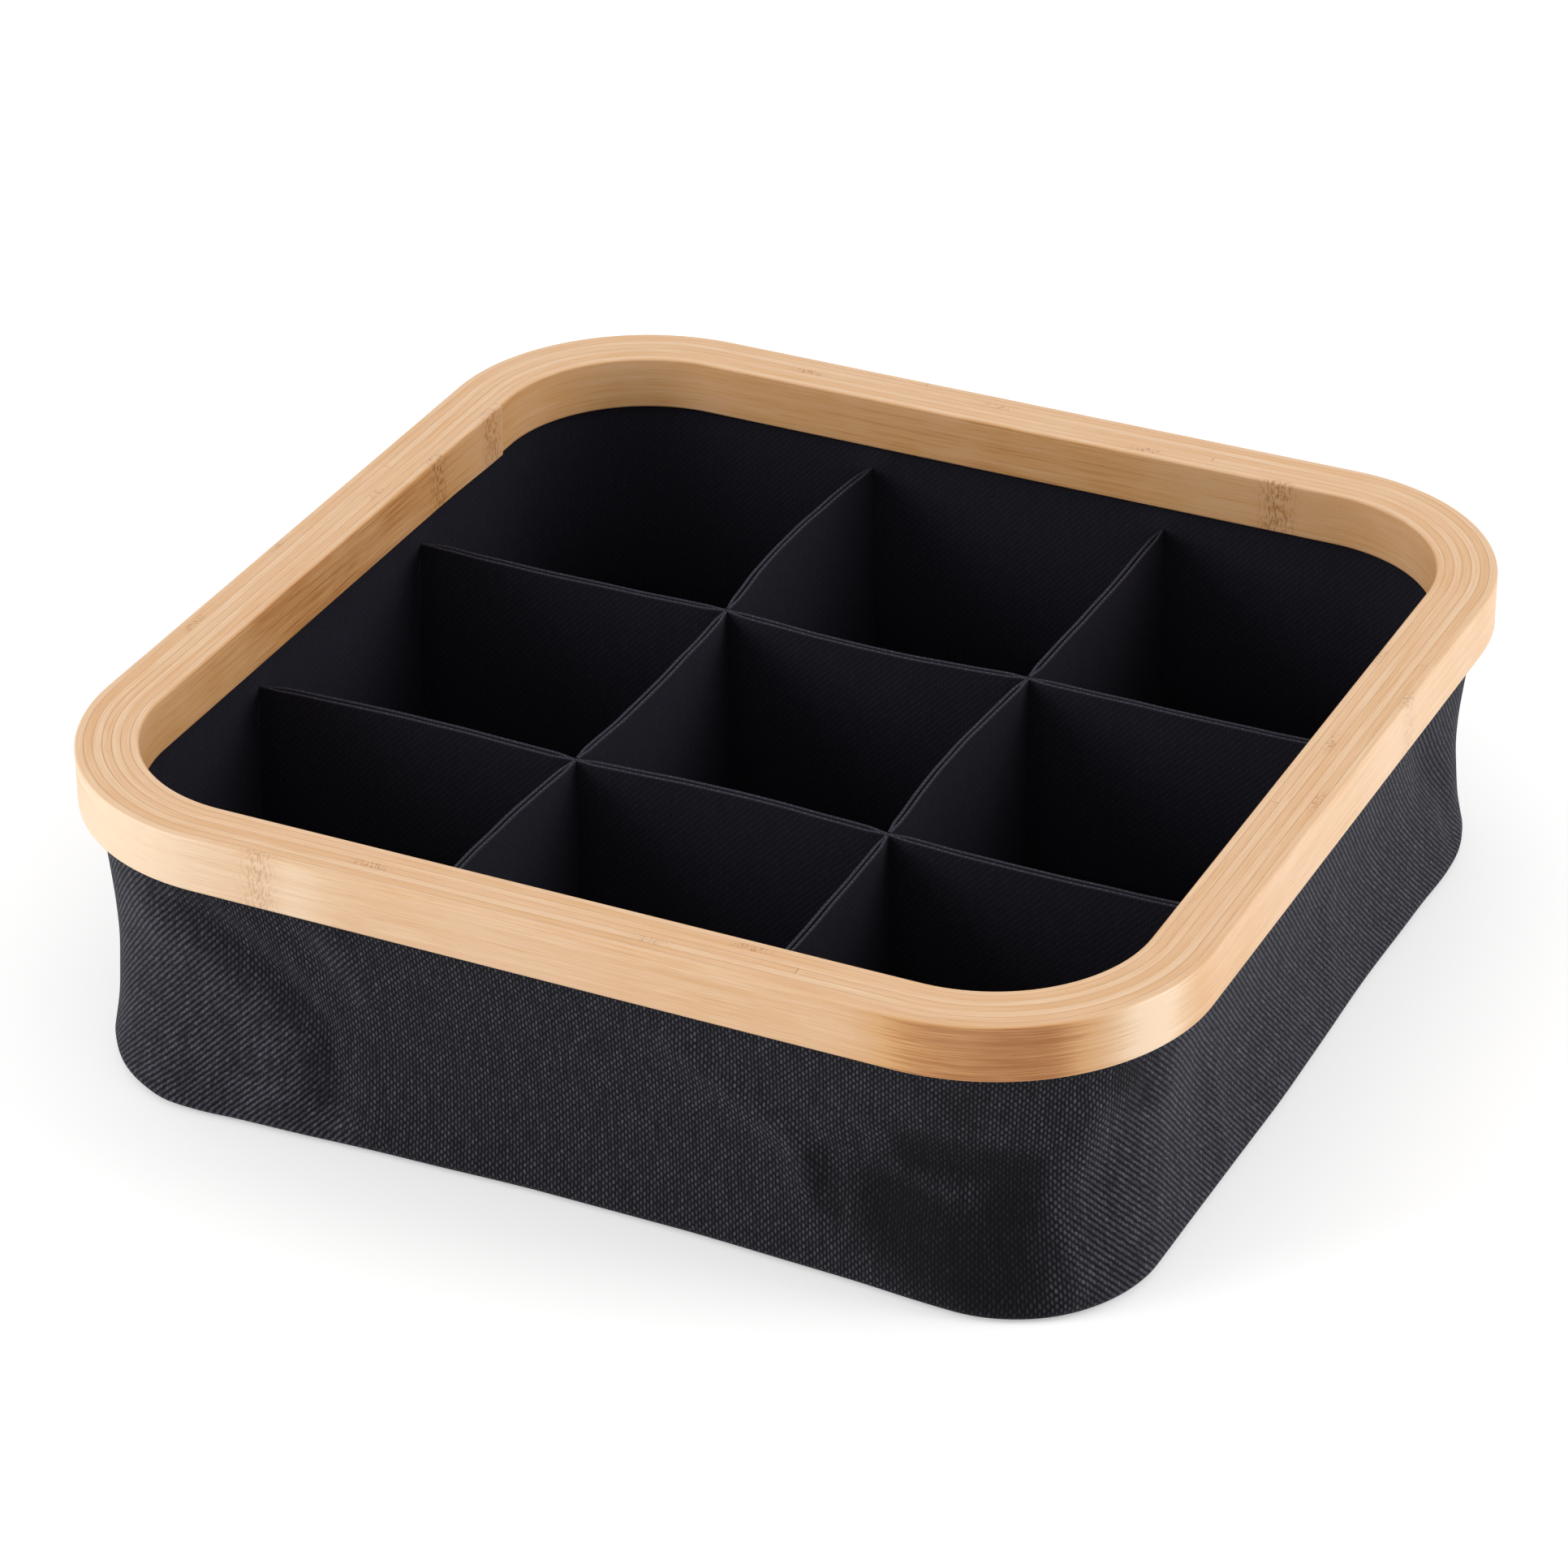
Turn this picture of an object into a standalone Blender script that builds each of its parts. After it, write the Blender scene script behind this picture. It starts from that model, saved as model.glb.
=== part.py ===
"""Foldable organizer: a bent bamboo rim on cloth walls round nine compartments."""

import math

import bmesh
import bpy

# Whole object
TOTAL_HEIGHT = 0.090
SEAT_GAP = 0.0003
CORNER_STEPS = 10

# Rim of bent bamboo plies, counted from the outer face inwards
RIM_SIDE = 0.320
RIM_CORNER_RADIUS = 0.0605
RIM_HEIGHT = 0.016
RIM_EDGE_RADIUS = 0.0010
PLY_COUNT = 7
PLY_THICKNESS = 0.00226
GLUE_LINE = 0.0002
PLY_END_GAP = 0.0003
PLY_JOINT_SIDES = (2, 1, 3, 0, 2, 1, 3)
PLY_JOINT_SHARES = (0.35, 0.60, -0.45, 0.70, -0.60, -0.25, -0.94)

# Rebates under the rim that grip the cloth edges
HEM_DEPTH = 0.009
SKIRT_HEM_PLY = 2
LINING_HEM_PLY = 5

# Cloth walls, the outer skirt turned under the base
SKIRT_CLOTH = 0.0008
LINING_CLOTH = 0.0005
BASE_INSET = 0.0094
BASE_CORNER_RADIUS = 0.038
WAIST_DRAW = 0.0009
FOLD_RADIUS = 0.004
FOLD_STEPS = 2
LIP_WIDTH = 0.012

# Wall rows from the fold up to the rim: height, lean and waist shares
WALL_ROW_SHARES = (
    (0.00, 0.00, 0.00),
    (0.14, 0.00, 0.85),
    (0.28, 0.00, 1.00),
    (0.42, 0.01, 0.90),
    (0.56, 0.11, 0.52),
    (0.73, 0.38, 0.14),
    (1.00, 1.00, 0.00),
)

# Slack folds of the skirt near three corners. A place is (turn, height): turns in quarters
# round the skirt from the middle of the front, heights as shares of the cloth below the rim
SKIRT_CREASE_DEPTH = 0.0019
SKIRT_CREASE_REACH = 0.012
SKIRT_CREASE_SHARES = (
    ((-0.39, 0.81), (-0.27, 0.27), 1.0, 0.7),
    ((0.30, 0.60), (0.44, 0.11), 1.0, 1.3),
    ((0.50, 0.74), (0.475, 0.19), -0.4, 0.6),
    ((0.67, 0.68), (0.73, 0.20), 0.5, 0.6),
    ((1.305, 0.84), (1.39, 0.35), 1.0, 0.7),
)
FLAT_POINT_SHARES = (
    (0.07, 0.14, 0.22, 0.78, 0.86, 0.93),
    (),
    (),
    (0.07, 0.14, 0.22, 0.78, 0.86, 0.93),
)

# Felt panels that keep each wall's middle upright
WALL_FELT = 0.002
FELT_PAST_DIVIDERS = 0.0135
FELT_TOP_CLEARANCE = 0.002

# Base
BOARD_THICKNESS = 0.0025

# Dividers: folded sleeves of lining cloth with felt inside
COMPARTMENT_PITCH = 0.093
DIVIDER_TOP = 0.067
DIVIDER_THICKNESS = 0.0024
DIVIDER_FELT_RECESS = 0.003
PINCH_WIDTH = 0.0012
DIVIDER_STATION_SHARES = (0.0, 0.06, 0.28, 0.50, 0.72, 0.94, 1.0)
DIVIDER_BOW = 0.003
ROW_BOW_SHARES = {
    "back": (-0.5, -1.0, -0.2),
    "front": (0.5, 0.7, -0.5),
}
COLUMN_BOW_SHARES = {
    "left": (1.0, -0.5, 0.8),
    "right": (-0.2, 0.7, -0.4),
}

# Sizes that follow from those above
RIM_UNDERSIDE = TOTAL_HEIGHT - RIM_HEIGHT
HEM_TOP = RIM_UNDERSIDE + HEM_DEPTH
PLY_PITCH = PLY_THICKNESS + GLUE_LINE
SKIRT_HEM_INSET = SKIRT_HEM_PLY * PLY_PITCH - GLUE_LINE + SEAT_GAP
LINING_HEM_INSET = (LINING_HEM_PLY + 1) * PLY_PITCH - SEAT_GAP
BASE_HALF = RIM_SIDE / 2 - BASE_INSET
WALL_STACK = SKIRT_CLOTH + WALL_FELT + LINING_CLOTH + 2 * SEAT_GAP
BOARD_BOTTOM = SKIRT_CLOTH + SEAT_GAP
BOARD_TOP = BOARD_BOTTOM + BOARD_THICKNESS
FLOOR_BOTTOM = BOARD_TOP + SEAT_GAP
FLOOR_TOP = FLOOR_BOTTOM + LINING_CLOTH
DIVIDER_BOTTOM = FLOOR_TOP + SEAT_GAP
CROSSING = COMPARTMENT_PITCH / 2
CROSSING_GAP = SEAT_GAP / math.sqrt(2)
SLOT_WIDTH = DIVIDER_THICKNESS - 2 * LINING_CLOTH
DIVIDER_FELT = SLOT_WIDTH - 2 * SEAT_GAP

SIDE_NAMES = ("front", "right", "back", "left")


def clear_scene():
    for item in list(bpy.data.objects):
        bpy.data.objects.remove(item, do_unlink=True)


def make_collection(name):
    group = bpy.data.collections.new(name)
    bpy.context.scene.collection.children.link(group)
    return group


def make_material(name, colour, roughness):
    surface = bpy.data.materials.new(name)
    surface.use_nodes = True
    shader = surface.node_tree.nodes["Principled BSDF"]
    shader.inputs["Base Color"].default_value = (*colour, 1.0)
    shader.inputs["Roughness"].default_value = roughness
    shader.inputs["Metallic"].default_value = 0.0
    surface.diffuse_color = (*colour, 1.0)
    return surface


def bamboo_material(index):
    """Neighbouring plies differ a little, as their strips do."""
    if index % 2:
        return make_material(f"bamboo_{index + 1}", (0.66, 0.43, 0.23), 0.50)
    return make_material(f"bamboo_{index + 1}", (0.74, 0.51, 0.29), 0.50)


def skirt_material():
    return make_material("charcoal_weave", (0.016, 0.016, 0.018), 0.90)


def lining_material():
    return make_material("black_lining", (0.006, 0.006, 0.008), 0.85)


def felt_material():
    return make_material("grey_felt", (0.12, 0.12, 0.12), 0.95)


def board_material():
    return make_material("grey_board", (0.32, 0.30, 0.27), 0.90)


def between(start, end, share):
    return start + (end - start) * share


def loft_mesh(name, rows, closed_rows=False, closed_section=False):
    """Skin over rows of points. An open skin faces out of rows that go down its outer side."""
    shape = bmesh.new()
    grid = [[shape.verts.new(point) for point in row] for row in rows]
    across = len(grid) if closed_section else len(grid) - 1
    along = len(grid[0]) if closed_rows else len(grid[0]) - 1
    for i in range(across):
        upper = grid[i]
        lower = grid[(i + 1) % len(grid)]
        for j in range(along):
            k = (j + 1) % len(upper)
            shape.faces.new((upper[j], lower[j], lower[k], upper[k]))
    if closed_section and not closed_rows:
        shape.faces.new([row[0] for row in reversed(grid)])
        shape.faces.new([row[-1] for row in grid])
    if closed_section:
        bmesh.ops.recalc_face_normals(shape, faces=shape.faces)
    mesh = bpy.data.meshes.new(name)
    shape.to_mesh(mesh)
    shape.free()
    mesh.shade_smooth()
    mesh.set_sharp_from_angle(angle=math.radians(35))
    return mesh


def add_object(name, data, surface, group, parent=None):
    piece = bpy.data.objects.new(name, data)
    piece.data.materials.append(surface)
    piece.parent = parent
    group.objects.link(piece)
    return piece


def thicken(piece, thickness):
    """Gives a skin its cloth thickness, inwards from the face that is modelled."""
    shell = piece.modifiers.new("cloth_thickness", "SOLIDIFY")
    shell.thickness = thickness
    shell.offset = -1
    shell.use_even_offset = True
    return piece


def round_square(half, radius, height, start=None, side=0):
    """Rounded square at one height, counterclockwise from above.

    A closed ring holds its corner arcs only. With start, a ring is cut open there, that far
    along its side from the side's middle.
    """
    centre = half - radius
    ring = []
    for corner in range(len(SIDE_NAMES)):
        for step in range(CORNER_STEPS + 1):
            angle = math.pi / 2 * (corner - 1 + step / CORNER_STEPS)
            turn = math.pi / 2 * corner
            x = centre * (math.cos(turn) + math.sin(turn)) + radius * math.cos(angle)
            y = centre * (math.sin(turn) - math.cos(turn)) + radius * math.sin(angle)
            ring.append((x, y))
    if start is not None:
        ring.insert(0, (start + PLY_END_GAP / 2, -half))
        ring.append((start - PLY_END_GAP / 2, -half))
    turn = math.pi / 2 * side
    cosine = math.cos(turn)
    sine = math.sin(turn)
    return [(x * cosine - y * sine, x * sine + y * cosine, height) for x, y in ring]


def quarter_arc(centre, radius, first_angle, steps):
    """Points of a quarter circle in a section, as (inset, height) pairs."""
    inset, height = centre
    points = []
    for step in range(steps + 1):
        angle = first_angle + math.pi / 2 * step / steps
        points.append((inset + radius * math.cos(angle), height + radius * math.sin(angle)))
    return points


def ply_section(index):
    """Outline of one ply, (inset from the rim's outer face, height) pairs, down its outer side."""
    outer = index * PLY_PITCH
    inner = outer + PLY_THICKNESS
    low = RIM_UNDERSIDE
    if index == 0:
        edge = outer + RIM_EDGE_RADIUS
        upper = quarter_arc((edge, TOTAL_HEIGHT - RIM_EDGE_RADIUS), RIM_EDGE_RADIUS, math.pi / 2, 2)
        lower = quarter_arc((edge, low + RIM_EDGE_RADIUS), RIM_EDGE_RADIUS, math.pi, 2)
        return upper + lower + [(inner, low), (inner, TOTAL_HEIGHT)]
    if index == PLY_COUNT - 1:
        edge = inner - RIM_EDGE_RADIUS
        lower = quarter_arc((edge, low + RIM_EDGE_RADIUS), RIM_EDGE_RADIUS, -math.pi / 2, 2)
        upper = quarter_arc((edge, TOTAL_HEIGHT - RIM_EDGE_RADIUS), RIM_EDGE_RADIUS, 0.0, 2)
        return [(outer, TOTAL_HEIGHT), (outer, low)] + lower + upper
    if index == SKIRT_HEM_PLY:
        cut = SKIRT_HEM_INSET + SKIRT_CLOTH + SEAT_GAP
        return [(outer, TOTAL_HEIGHT), (outer, HEM_TOP), (cut, HEM_TOP), (cut, low), (inner, low),
                (inner, TOTAL_HEIGHT)]
    if index == LINING_HEM_PLY:
        cut = LINING_HEM_INSET - LINING_CLOTH - SEAT_GAP
        return [(outer, TOTAL_HEIGHT), (outer, low), (cut, low), (cut, HEM_TOP), (inner, HEM_TOP),
                (inner, TOTAL_HEIGHT)]
    return [(outer, TOTAL_HEIGHT), (outer, low), (inner, low), (inner, TOTAL_HEIGHT)]


def build_rim(group):
    """Plies bent round the rim one inside the other, each closing on its own butt joint."""
    carrier = bpy.data.objects.new("rim_carrier", None)
    carrier.location = (0, 0, RIM_UNDERSIDE)
    group.objects.link(carrier)
    straight = RIM_SIDE / 2 - RIM_CORNER_RADIUS
    for index in range(PLY_COUNT):
        name = f"rim_ply_{index + 1}"
        start = straight * PLY_JOINT_SHARES[index % len(PLY_JOINT_SHARES)]
        side = PLY_JOINT_SIDES[index % len(PLY_JOINT_SIDES)]
        rows = []
        for inset, height in ply_section(index):
            half = RIM_SIDE / 2 - inset
            radius = RIM_CORNER_RADIUS - inset
            rows.append(round_square(half, radius, height - RIM_UNDERSIDE, start, side))
        mesh = loft_mesh(name, rows, closed_section=True)
        add_object(name, mesh, bamboo_material(index), group, carrier)


def wall_rows(base_half, base_radius, hem_inset):
    """Rows (height, half side, corner radius) of a cloth wall from the base fold to its hem."""
    rows = []
    for height_share, lean_share, waist_share in WALL_ROW_SHARES:
        height = between(FOLD_RADIUS, RIM_UNDERSIDE, height_share)
        half = between(base_half, RIM_SIDE / 2 - hem_inset, lean_share)
        radius = between(base_radius, RIM_CORNER_RADIUS - hem_inset, height_share)
        rows.append((height, half - WAIST_DRAW * waist_share, radius))
    return rows


def skirt_rows():
    return wall_rows(BASE_HALF, BASE_CORNER_RADIUS, SKIRT_HEM_INSET)


def lining_rows():
    """Rows of the lining's outer face."""
    offset = WALL_STACK - LINING_CLOTH
    hem_inset = LINING_HEM_INSET - LINING_CLOTH
    return wall_rows(BASE_HALF - offset, BASE_CORNER_RADIUS - offset, hem_inset)


def lining_at(height):
    """Half side of the lining's outer face at any height."""
    rows = lining_rows()
    if height <= rows[0][0]:
        return rows[0][1]
    for lower, upper in zip(rows, rows[1:]):
        if height <= upper[0]:
            return between(lower[1], upper[1], (height - lower[0]) / (upper[0] - lower[0]))
    return rows[-1][1]


def heights_between(low, high):
    """The two ends and the wall rows between them, from the top down."""
    inside = [row[0] for row in lining_rows() if low < row[0] < high]
    return [high] + inside[::-1] + [low]


def skirt_ring(half, radius, height):
    """Ring of the skirt, with points along the flats that have folds."""
    arcs = round_square(half, radius, height)
    count = CORNER_STEPS + 1
    ring = []
    for corner, shares in enumerate(FLAT_POINT_SHARES):
        ring += arcs[corner * count:(corner + 1) * count]
        start = ring[-1]
        end = arcs[(corner + 1) * count % len(arcs)]
        ring += [[between(a, b, share) for a, b in zip(start, end)] for share in shares]
    return ring


def skirt_walks():
    """How far each ring point lies round the skirt from the middle of the front."""
    ring = skirt_ring(BASE_HALF, BASE_CORNER_RADIUS, 0.0)
    walks = [ring[0][0]]
    for point, ahead in zip(ring, ring[1:]):
        walks.append(walks[-1] + math.dist(point, ahead))
    return walks


def crease_offset(walk, height, quarter):
    """How far the folds push one point of the skirt out. A hollow is below zero."""
    offset = 0.0
    for start, end, depth_share, reach_share in SKIRT_CREASE_SHARES:
        place = (walk - start[0] * quarter, height - start[1] * RIM_UNDERSIDE)
        run = ((end[0] - start[0]) * quarter, (end[1] - start[1]) * RIM_UNDERSIDE)
        along = (place[0] * run[0] + place[1] * run[1]) / (run[0] ** 2 + run[1] ** 2)
        along = min(max(along, 0), 1)
        distance = math.hypot(place[0] - along * run[0], place[1] - along * run[1])
        fade = math.exp(-(distance / (SKIRT_CREASE_REACH * reach_share)) ** 2)
        offset -= SKIRT_CREASE_DEPTH * depth_share * fade
    return offset


def creased(ring, walks):
    """Ring of the skirt with its folds pushed in or out along the ring's own normals."""
    lap = walks[-1] + math.dist(ring[-1], ring[0]) - walks[0]
    quarter = lap / len(SIDE_NAMES)
    moved = []
    for index, (x, y, height) in enumerate(ring):
        back = ring[index - 1]
        ahead = ring[(index + 1) % len(ring)]
        walk = walks[index]
        if walk > lap / 2:
            walk -= lap
        offset = crease_offset(walk, height, quarter)
        tangent = (ahead[0] - back[0], ahead[1] - back[1])
        length = math.hypot(*tangent)
        moved.append((x + tangent[1] / length * offset, y - tangent[0] / length * offset, height))
    return moved


def build_skirt(group):
    """Outer cloth: gripped under the rim, slack at the corners and turned under the base."""
    rows = skirt_rows()
    walks = skirt_walks()
    top_height, top_half, top_radius = rows[-1]
    low_height, low_half, low_radius = rows[0]
    rings = [skirt_ring(top_half, top_radius, HEM_TOP - SEAT_GAP)]
    rings.append(skirt_ring(top_half, top_radius, top_height))
    for height, half, radius in reversed(rows[1:-1]):
        rings.append(creased(skirt_ring(half, radius, height), walks))
    rings.append(skirt_ring(low_half, low_radius, low_height))
    fold = quarter_arc((FOLD_RADIUS, FOLD_RADIUS), FOLD_RADIUS, math.pi, FOLD_STEPS)
    for inset, height in fold[1:] + [(LIP_WIDTH, 0.0)]:
        rings.append(skirt_ring(BASE_HALF - inset, BASE_CORNER_RADIUS - inset, height))
    mesh = loft_mesh("outer_skirt", rings, closed_rows=True)
    thicken(add_object("outer_skirt", mesh, skirt_material(), group), SKIRT_CLOTH)


def build_lining(group):
    """Inner cloth: stands on the base board and is gripped behind the innermost ply."""
    rows = lining_rows()
    top_half, top_radius = rows[-1][1:]
    low_half, low_radius = rows[0][1:]
    rings = [round_square(top_half, top_radius, HEM_TOP - SEAT_GAP)]
    for height, half, radius in reversed(rows[1:]):
        rings.append(round_square(half, radius, height))
    rings.append(round_square(low_half, low_radius, FLOOR_BOTTOM))
    mesh = loft_mesh("wall_lining", rings, closed_rows=True)
    thicken(add_object("wall_lining", mesh, lining_material(), group), LINING_CLOTH)


def build_wall_felts(group):
    """One felt panel behind the middle of each wall, past both dividers that meet it."""
    reach = CROSSING + FELT_PAST_DIVIDERS
    heights = heights_between(FOLD_RADIUS + SEAT_GAP, RIM_UNDERSIDE - FELT_TOP_CLEARANCE)
    rows = []
    for height in heights:
        face = -(lining_at(height) + SEAT_GAP + WALL_FELT)
        rows.append([(-reach, face, height), (reach, face, height)])
    surface = felt_material()
    for side, side_name in enumerate(SIDE_NAMES):
        name = f"wall_felt_{side_name}"
        panel = add_object(name, loft_mesh(name, rows), surface, group)
        panel.rotation_euler = (0, 0, math.pi / 2 * side)
        thicken(panel, WALL_FELT)


def add_flat_piece(name, half, radius, bottom, thickness, surface, group):
    """Flat rounded square cut from sheet, as a filled outline with the sheet's thickness."""
    outline = bpy.data.curves.new(name, "CURVE")
    outline.dimensions = "2D"
    outline.fill_mode = "BOTH"
    outline.extrude = thickness / 2
    points = round_square(half, radius, 0.0)
    spline = outline.splines.new("POLY")
    spline.points.add(len(points) - 1)
    for point, place in zip(spline.points, points):
        point.co = (*place, 1.0)
    spline.use_cyclic_u = True
    piece = add_object(name, outline, surface, group)
    piece.location = (0, 0, bottom + thickness / 2)
    weld = piece.modifiers.new("weld_rims", "WELD")
    weld.merge_threshold = 0.00001


def build_base(group):
    cover_inset = LIP_WIDTH + SEAT_GAP
    add_flat_piece("base_cover", BASE_HALF - cover_inset, BASE_CORNER_RADIUS - cover_inset,
                   0.0, SKIRT_CLOTH, skirt_material(), group)
    add_flat_piece("base_board", BASE_HALF - FOLD_RADIUS, BASE_CORNER_RADIUS - FOLD_RADIUS,
                   BOARD_BOTTOM, BOARD_THICKNESS, board_material(), group)
    floor_inset = WALL_STACK + SEAT_GAP
    add_flat_piece("floor_lining", BASE_HALF - floor_inset, BASE_CORNER_RADIUS - floor_inset,
                   FLOOR_BOTTOM, LINING_CLOTH, lining_material(), group)


def divider_row(height, lateral, bow, to_wall, station_shares):
    """Points along one divider at one height. It runs along +X from a crossing at the origin."""
    start = PINCH_WIDTH / 2 + CROSSING_GAP
    if to_wall:
        end = lining_at(height) - LINING_CLOTH - SEAT_GAP - CROSSING
    else:
        end = COMPARTMENT_PITCH - start
    rise = (height - DIVIDER_BOTTOM) / (DIVIDER_TOP - DIVIDER_BOTTOM)
    points = []
    for share in station_shares:
        pinched = share in (DIVIDER_STATION_SHARES[0], DIVIDER_STATION_SHARES[-1])
        half_width = math.copysign(PINCH_WIDTH / 2, lateral) if pinched else lateral
        offset = DIVIDER_BOW * bow * rise * math.sin(math.pi * share)
        points.append((between(start, end, share), half_width + offset, height))
    return points


def sleeve_mesh(name, bow, to_wall):
    """Strip folded at the floor into two plies, pinched together at both ends."""
    heights = heights_between(DIVIDER_BOTTOM, DIVIDER_TOP)
    half = DIVIDER_THICKNESS / 2
    rows = [divider_row(height, -half, bow, to_wall, DIVIDER_STATION_SHARES) for height in heights]
    rows += [divider_row(height, half, bow, to_wall, DIVIDER_STATION_SHARES)
             for height in reversed(heights)]
    return loft_mesh(name, rows)


def divider_felt_mesh(name, bow, to_wall):
    """Felt between a sleeve's plies. It starts and ends where they draw together."""
    bottom = DIVIDER_BOTTOM + LINING_CLOTH + SEAT_GAP
    heights = heights_between(bottom, DIVIDER_TOP - DIVIDER_FELT_RECESS)
    shares = DIVIDER_STATION_SHARES[1:-1]
    face = -DIVIDER_FELT / 2
    return loft_mesh(name, [divider_row(height, face, bow, to_wall, shares) for height in heights])


def add_divider(name, crossing, heading, bow, to_wall, surfaces, group):
    """One divider, and its felt, from a crossing towards a heading given in quarter turns."""
    cloth, felt = surfaces
    angle = math.pi / 2 * heading
    sleeve = add_object(f"{name}_sleeve", sleeve_mesh(name, bow, to_wall), cloth, group)
    thicken(sleeve, LINING_CLOTH)
    filling = add_object(f"{name}_felt", divider_felt_mesh(name, bow, to_wall), felt, group)
    thicken(filling, DIVIDER_FELT)
    for piece in (sleeve, filling):
        piece.location = (*crossing, 0)
        piece.rotation_euler = (0, 0, angle)


def build_dividers(group):
    """Two rows and two columns, each of three dividers that meet at the crossings."""
    surfaces = (lining_material(), felt_material())
    for row, y in (("back", CROSSING), ("front", -CROSSING)):
        left, middle, right = ROW_BOW_SHARES[row]
        name = f"row_{row}"
        add_divider(f"{name}_left", (-CROSSING, y), 2, -left, True, surfaces, group)
        add_divider(f"{name}_middle", (-CROSSING, y), 0, middle, False, surfaces, group)
        add_divider(f"{name}_right", (CROSSING, y), 0, right, True, surfaces, group)
    for column, x in (("left", -CROSSING), ("right", CROSSING)):
        back, middle, front = COLUMN_BOW_SHARES[column]
        name = f"column_{column}"
        add_divider(f"{name}_back", (x, CROSSING), 1, back, True, surfaces, group)
        add_divider(f"{name}_middle", (x, -CROSSING), 1, middle, False, surfaces, group)
        add_divider(f"{name}_front", (x, -CROSSING), 3, -front, True, surfaces, group)


def build_organizer():
    clear_scene()
    group = make_collection("foldable_compartment_organizer")
    build_rim(group)
    build_skirt(group)
    build_lining(group)
    build_wall_felts(group)
    build_base(group)
    build_dividers(group)


build_organizer()
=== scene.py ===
"""Foldable organizer: a bent bamboo rim on a cloth body with nine compartments."""

import math

import bmesh
import bpy
import numpy as np
from mathutils import Matrix


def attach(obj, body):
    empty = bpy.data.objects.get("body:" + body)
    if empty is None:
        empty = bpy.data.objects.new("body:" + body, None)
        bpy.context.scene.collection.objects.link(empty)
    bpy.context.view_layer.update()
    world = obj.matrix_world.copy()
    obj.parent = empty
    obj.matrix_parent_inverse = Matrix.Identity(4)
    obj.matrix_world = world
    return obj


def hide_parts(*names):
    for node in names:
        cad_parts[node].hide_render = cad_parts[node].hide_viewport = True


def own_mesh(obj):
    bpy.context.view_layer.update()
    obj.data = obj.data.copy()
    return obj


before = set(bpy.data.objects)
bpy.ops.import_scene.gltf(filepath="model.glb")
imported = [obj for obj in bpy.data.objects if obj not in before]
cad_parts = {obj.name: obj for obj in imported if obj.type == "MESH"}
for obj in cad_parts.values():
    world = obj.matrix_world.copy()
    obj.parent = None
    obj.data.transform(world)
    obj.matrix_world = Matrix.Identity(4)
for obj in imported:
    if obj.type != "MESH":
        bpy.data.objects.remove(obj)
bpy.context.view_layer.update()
MM = 0.001


# Base board. A sheet of grey board, die cut with round corners, that keeps the bottom flat.
# It lies between the base cover and the floor lining, loose in its cloth pocket.

def linear(hex_colour):
    """A written sRGB colour as the linear numbers that a shader takes."""
    channels = [int(hex_colour[place:place + 2], 16) / 255 for place in (1, 3, 5)]
    return (*[c / 12.92 if c <= 0.04045 else ((c + 0.055) / 1.055) ** 2.4 for c in channels], 1)


def nodes_for(owner):
    """Empties a material's or world's node tree, and gives the function that adds its nodes."""
    owner.use_nodes = True
    tree = owner.node_tree
    tree.nodes.clear()

    def add(kind, sockets, out=0, stops=(), **settings):
        """Adds a node with its settings and links, and gives back one of its outputs."""
        node = tree.nodes.new("ShaderNode" + kind)
        for name, value in settings.items():
            setattr(node, name, value)
        for name, value in sockets.items():
            if isinstance(value, bpy.types.NodeSocket):
                tree.links.new(value, node.inputs[name])
            else:
                node.inputs[name].default_value = value
        for index, (place, colour) in enumerate(stops):
            elements = node.color_ramp.elements
            stop = elements[index] if index < 2 else elements.new(place)
            stop.position = place
            stop.color = linear(colour)
        return node.outputs[out] if len(node.outputs) else node

    return add


# Grey board: pressed from waste paper, so it is dull and even, with pale and dark fibres. Real
# ones are too fine to show, so they are drawn 1.5 mm wide.
BOARD_FIBRE = 1.5 * MM
BOARD_CLOUD = 12 * MM

grey_board = bpy.data.materials.new("pressed_grey_board")
add = nodes_for(grey_board)
place = add("TexCoord", {}, out="Object")
fibre = add("TexNoise", {"Vector": place, "Scale": 1 / BOARD_FIBRE, "Detail": 6.0})
cloud = add("TexNoise", {"Vector": place, "Scale": 1 / BOARD_CLOUD})
mottle = add("Math", {0: fibre, 1: cloud}, operation="MULTIPLY")
colour = add("ValToRGB", {"Fac": mottle},
             stops=((0.12, "#8A857C"), (0.42, "#B4AEA3"), (0.27, "#A19B90")))
rough = add("MapRange", {"Value": fibre, "To Min": 0.82, "To Max": 0.96})
bump = add("Bump", {"Height": fibre, "Distance": 0.05 * MM, "Strength": 0.6})
shader = add("BsdfPrincipled", {"Base Color": colour, "Roughness": rough, "Normal": bump})
add("OutputMaterial", {"Surface": shader})

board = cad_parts["base_board"]
board.data.materials.clear()
board.data.materials.append(grey_board)


# Outer skirt. One strip of coarse charcoal cloth, glued into a rebate under the rim, drawn in
# a little at the waist and turned under the base. It is slack at the corners, where it folds.

TOTAL_HEIGHT = 90 * MM
RIM_HEIGHT = 16 * MM
RIM_UNDERSIDE = TOTAL_HEIGHT - RIM_HEIGHT
RIM_HALF = 160 * MM
RIM_CORNER_RADIUS = 60.5 * MM
HEM_TOP = RIM_UNDERSIDE + 8.3 * MM
SKIRT_HEM_INSET = 5.02 * MM
SKIRT_CLOTH = 0.8 * MM
BASE_HALF = 150.6 * MM
BASE_CORNER_RADIUS = 38 * MM
SKIRT_LAP = 8 * (BASE_HALF - BASE_CORNER_RADIUS) + 2 * math.pi * BASE_CORNER_RADIUS
WAIST_DRAW = 0.9 * MM
FOLD_RADIUS = 4 * MM
LIP_WIDTH = 12 * MM
SKIRT_COLUMNS = 900
SKIRT_ROWS = 58
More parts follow.
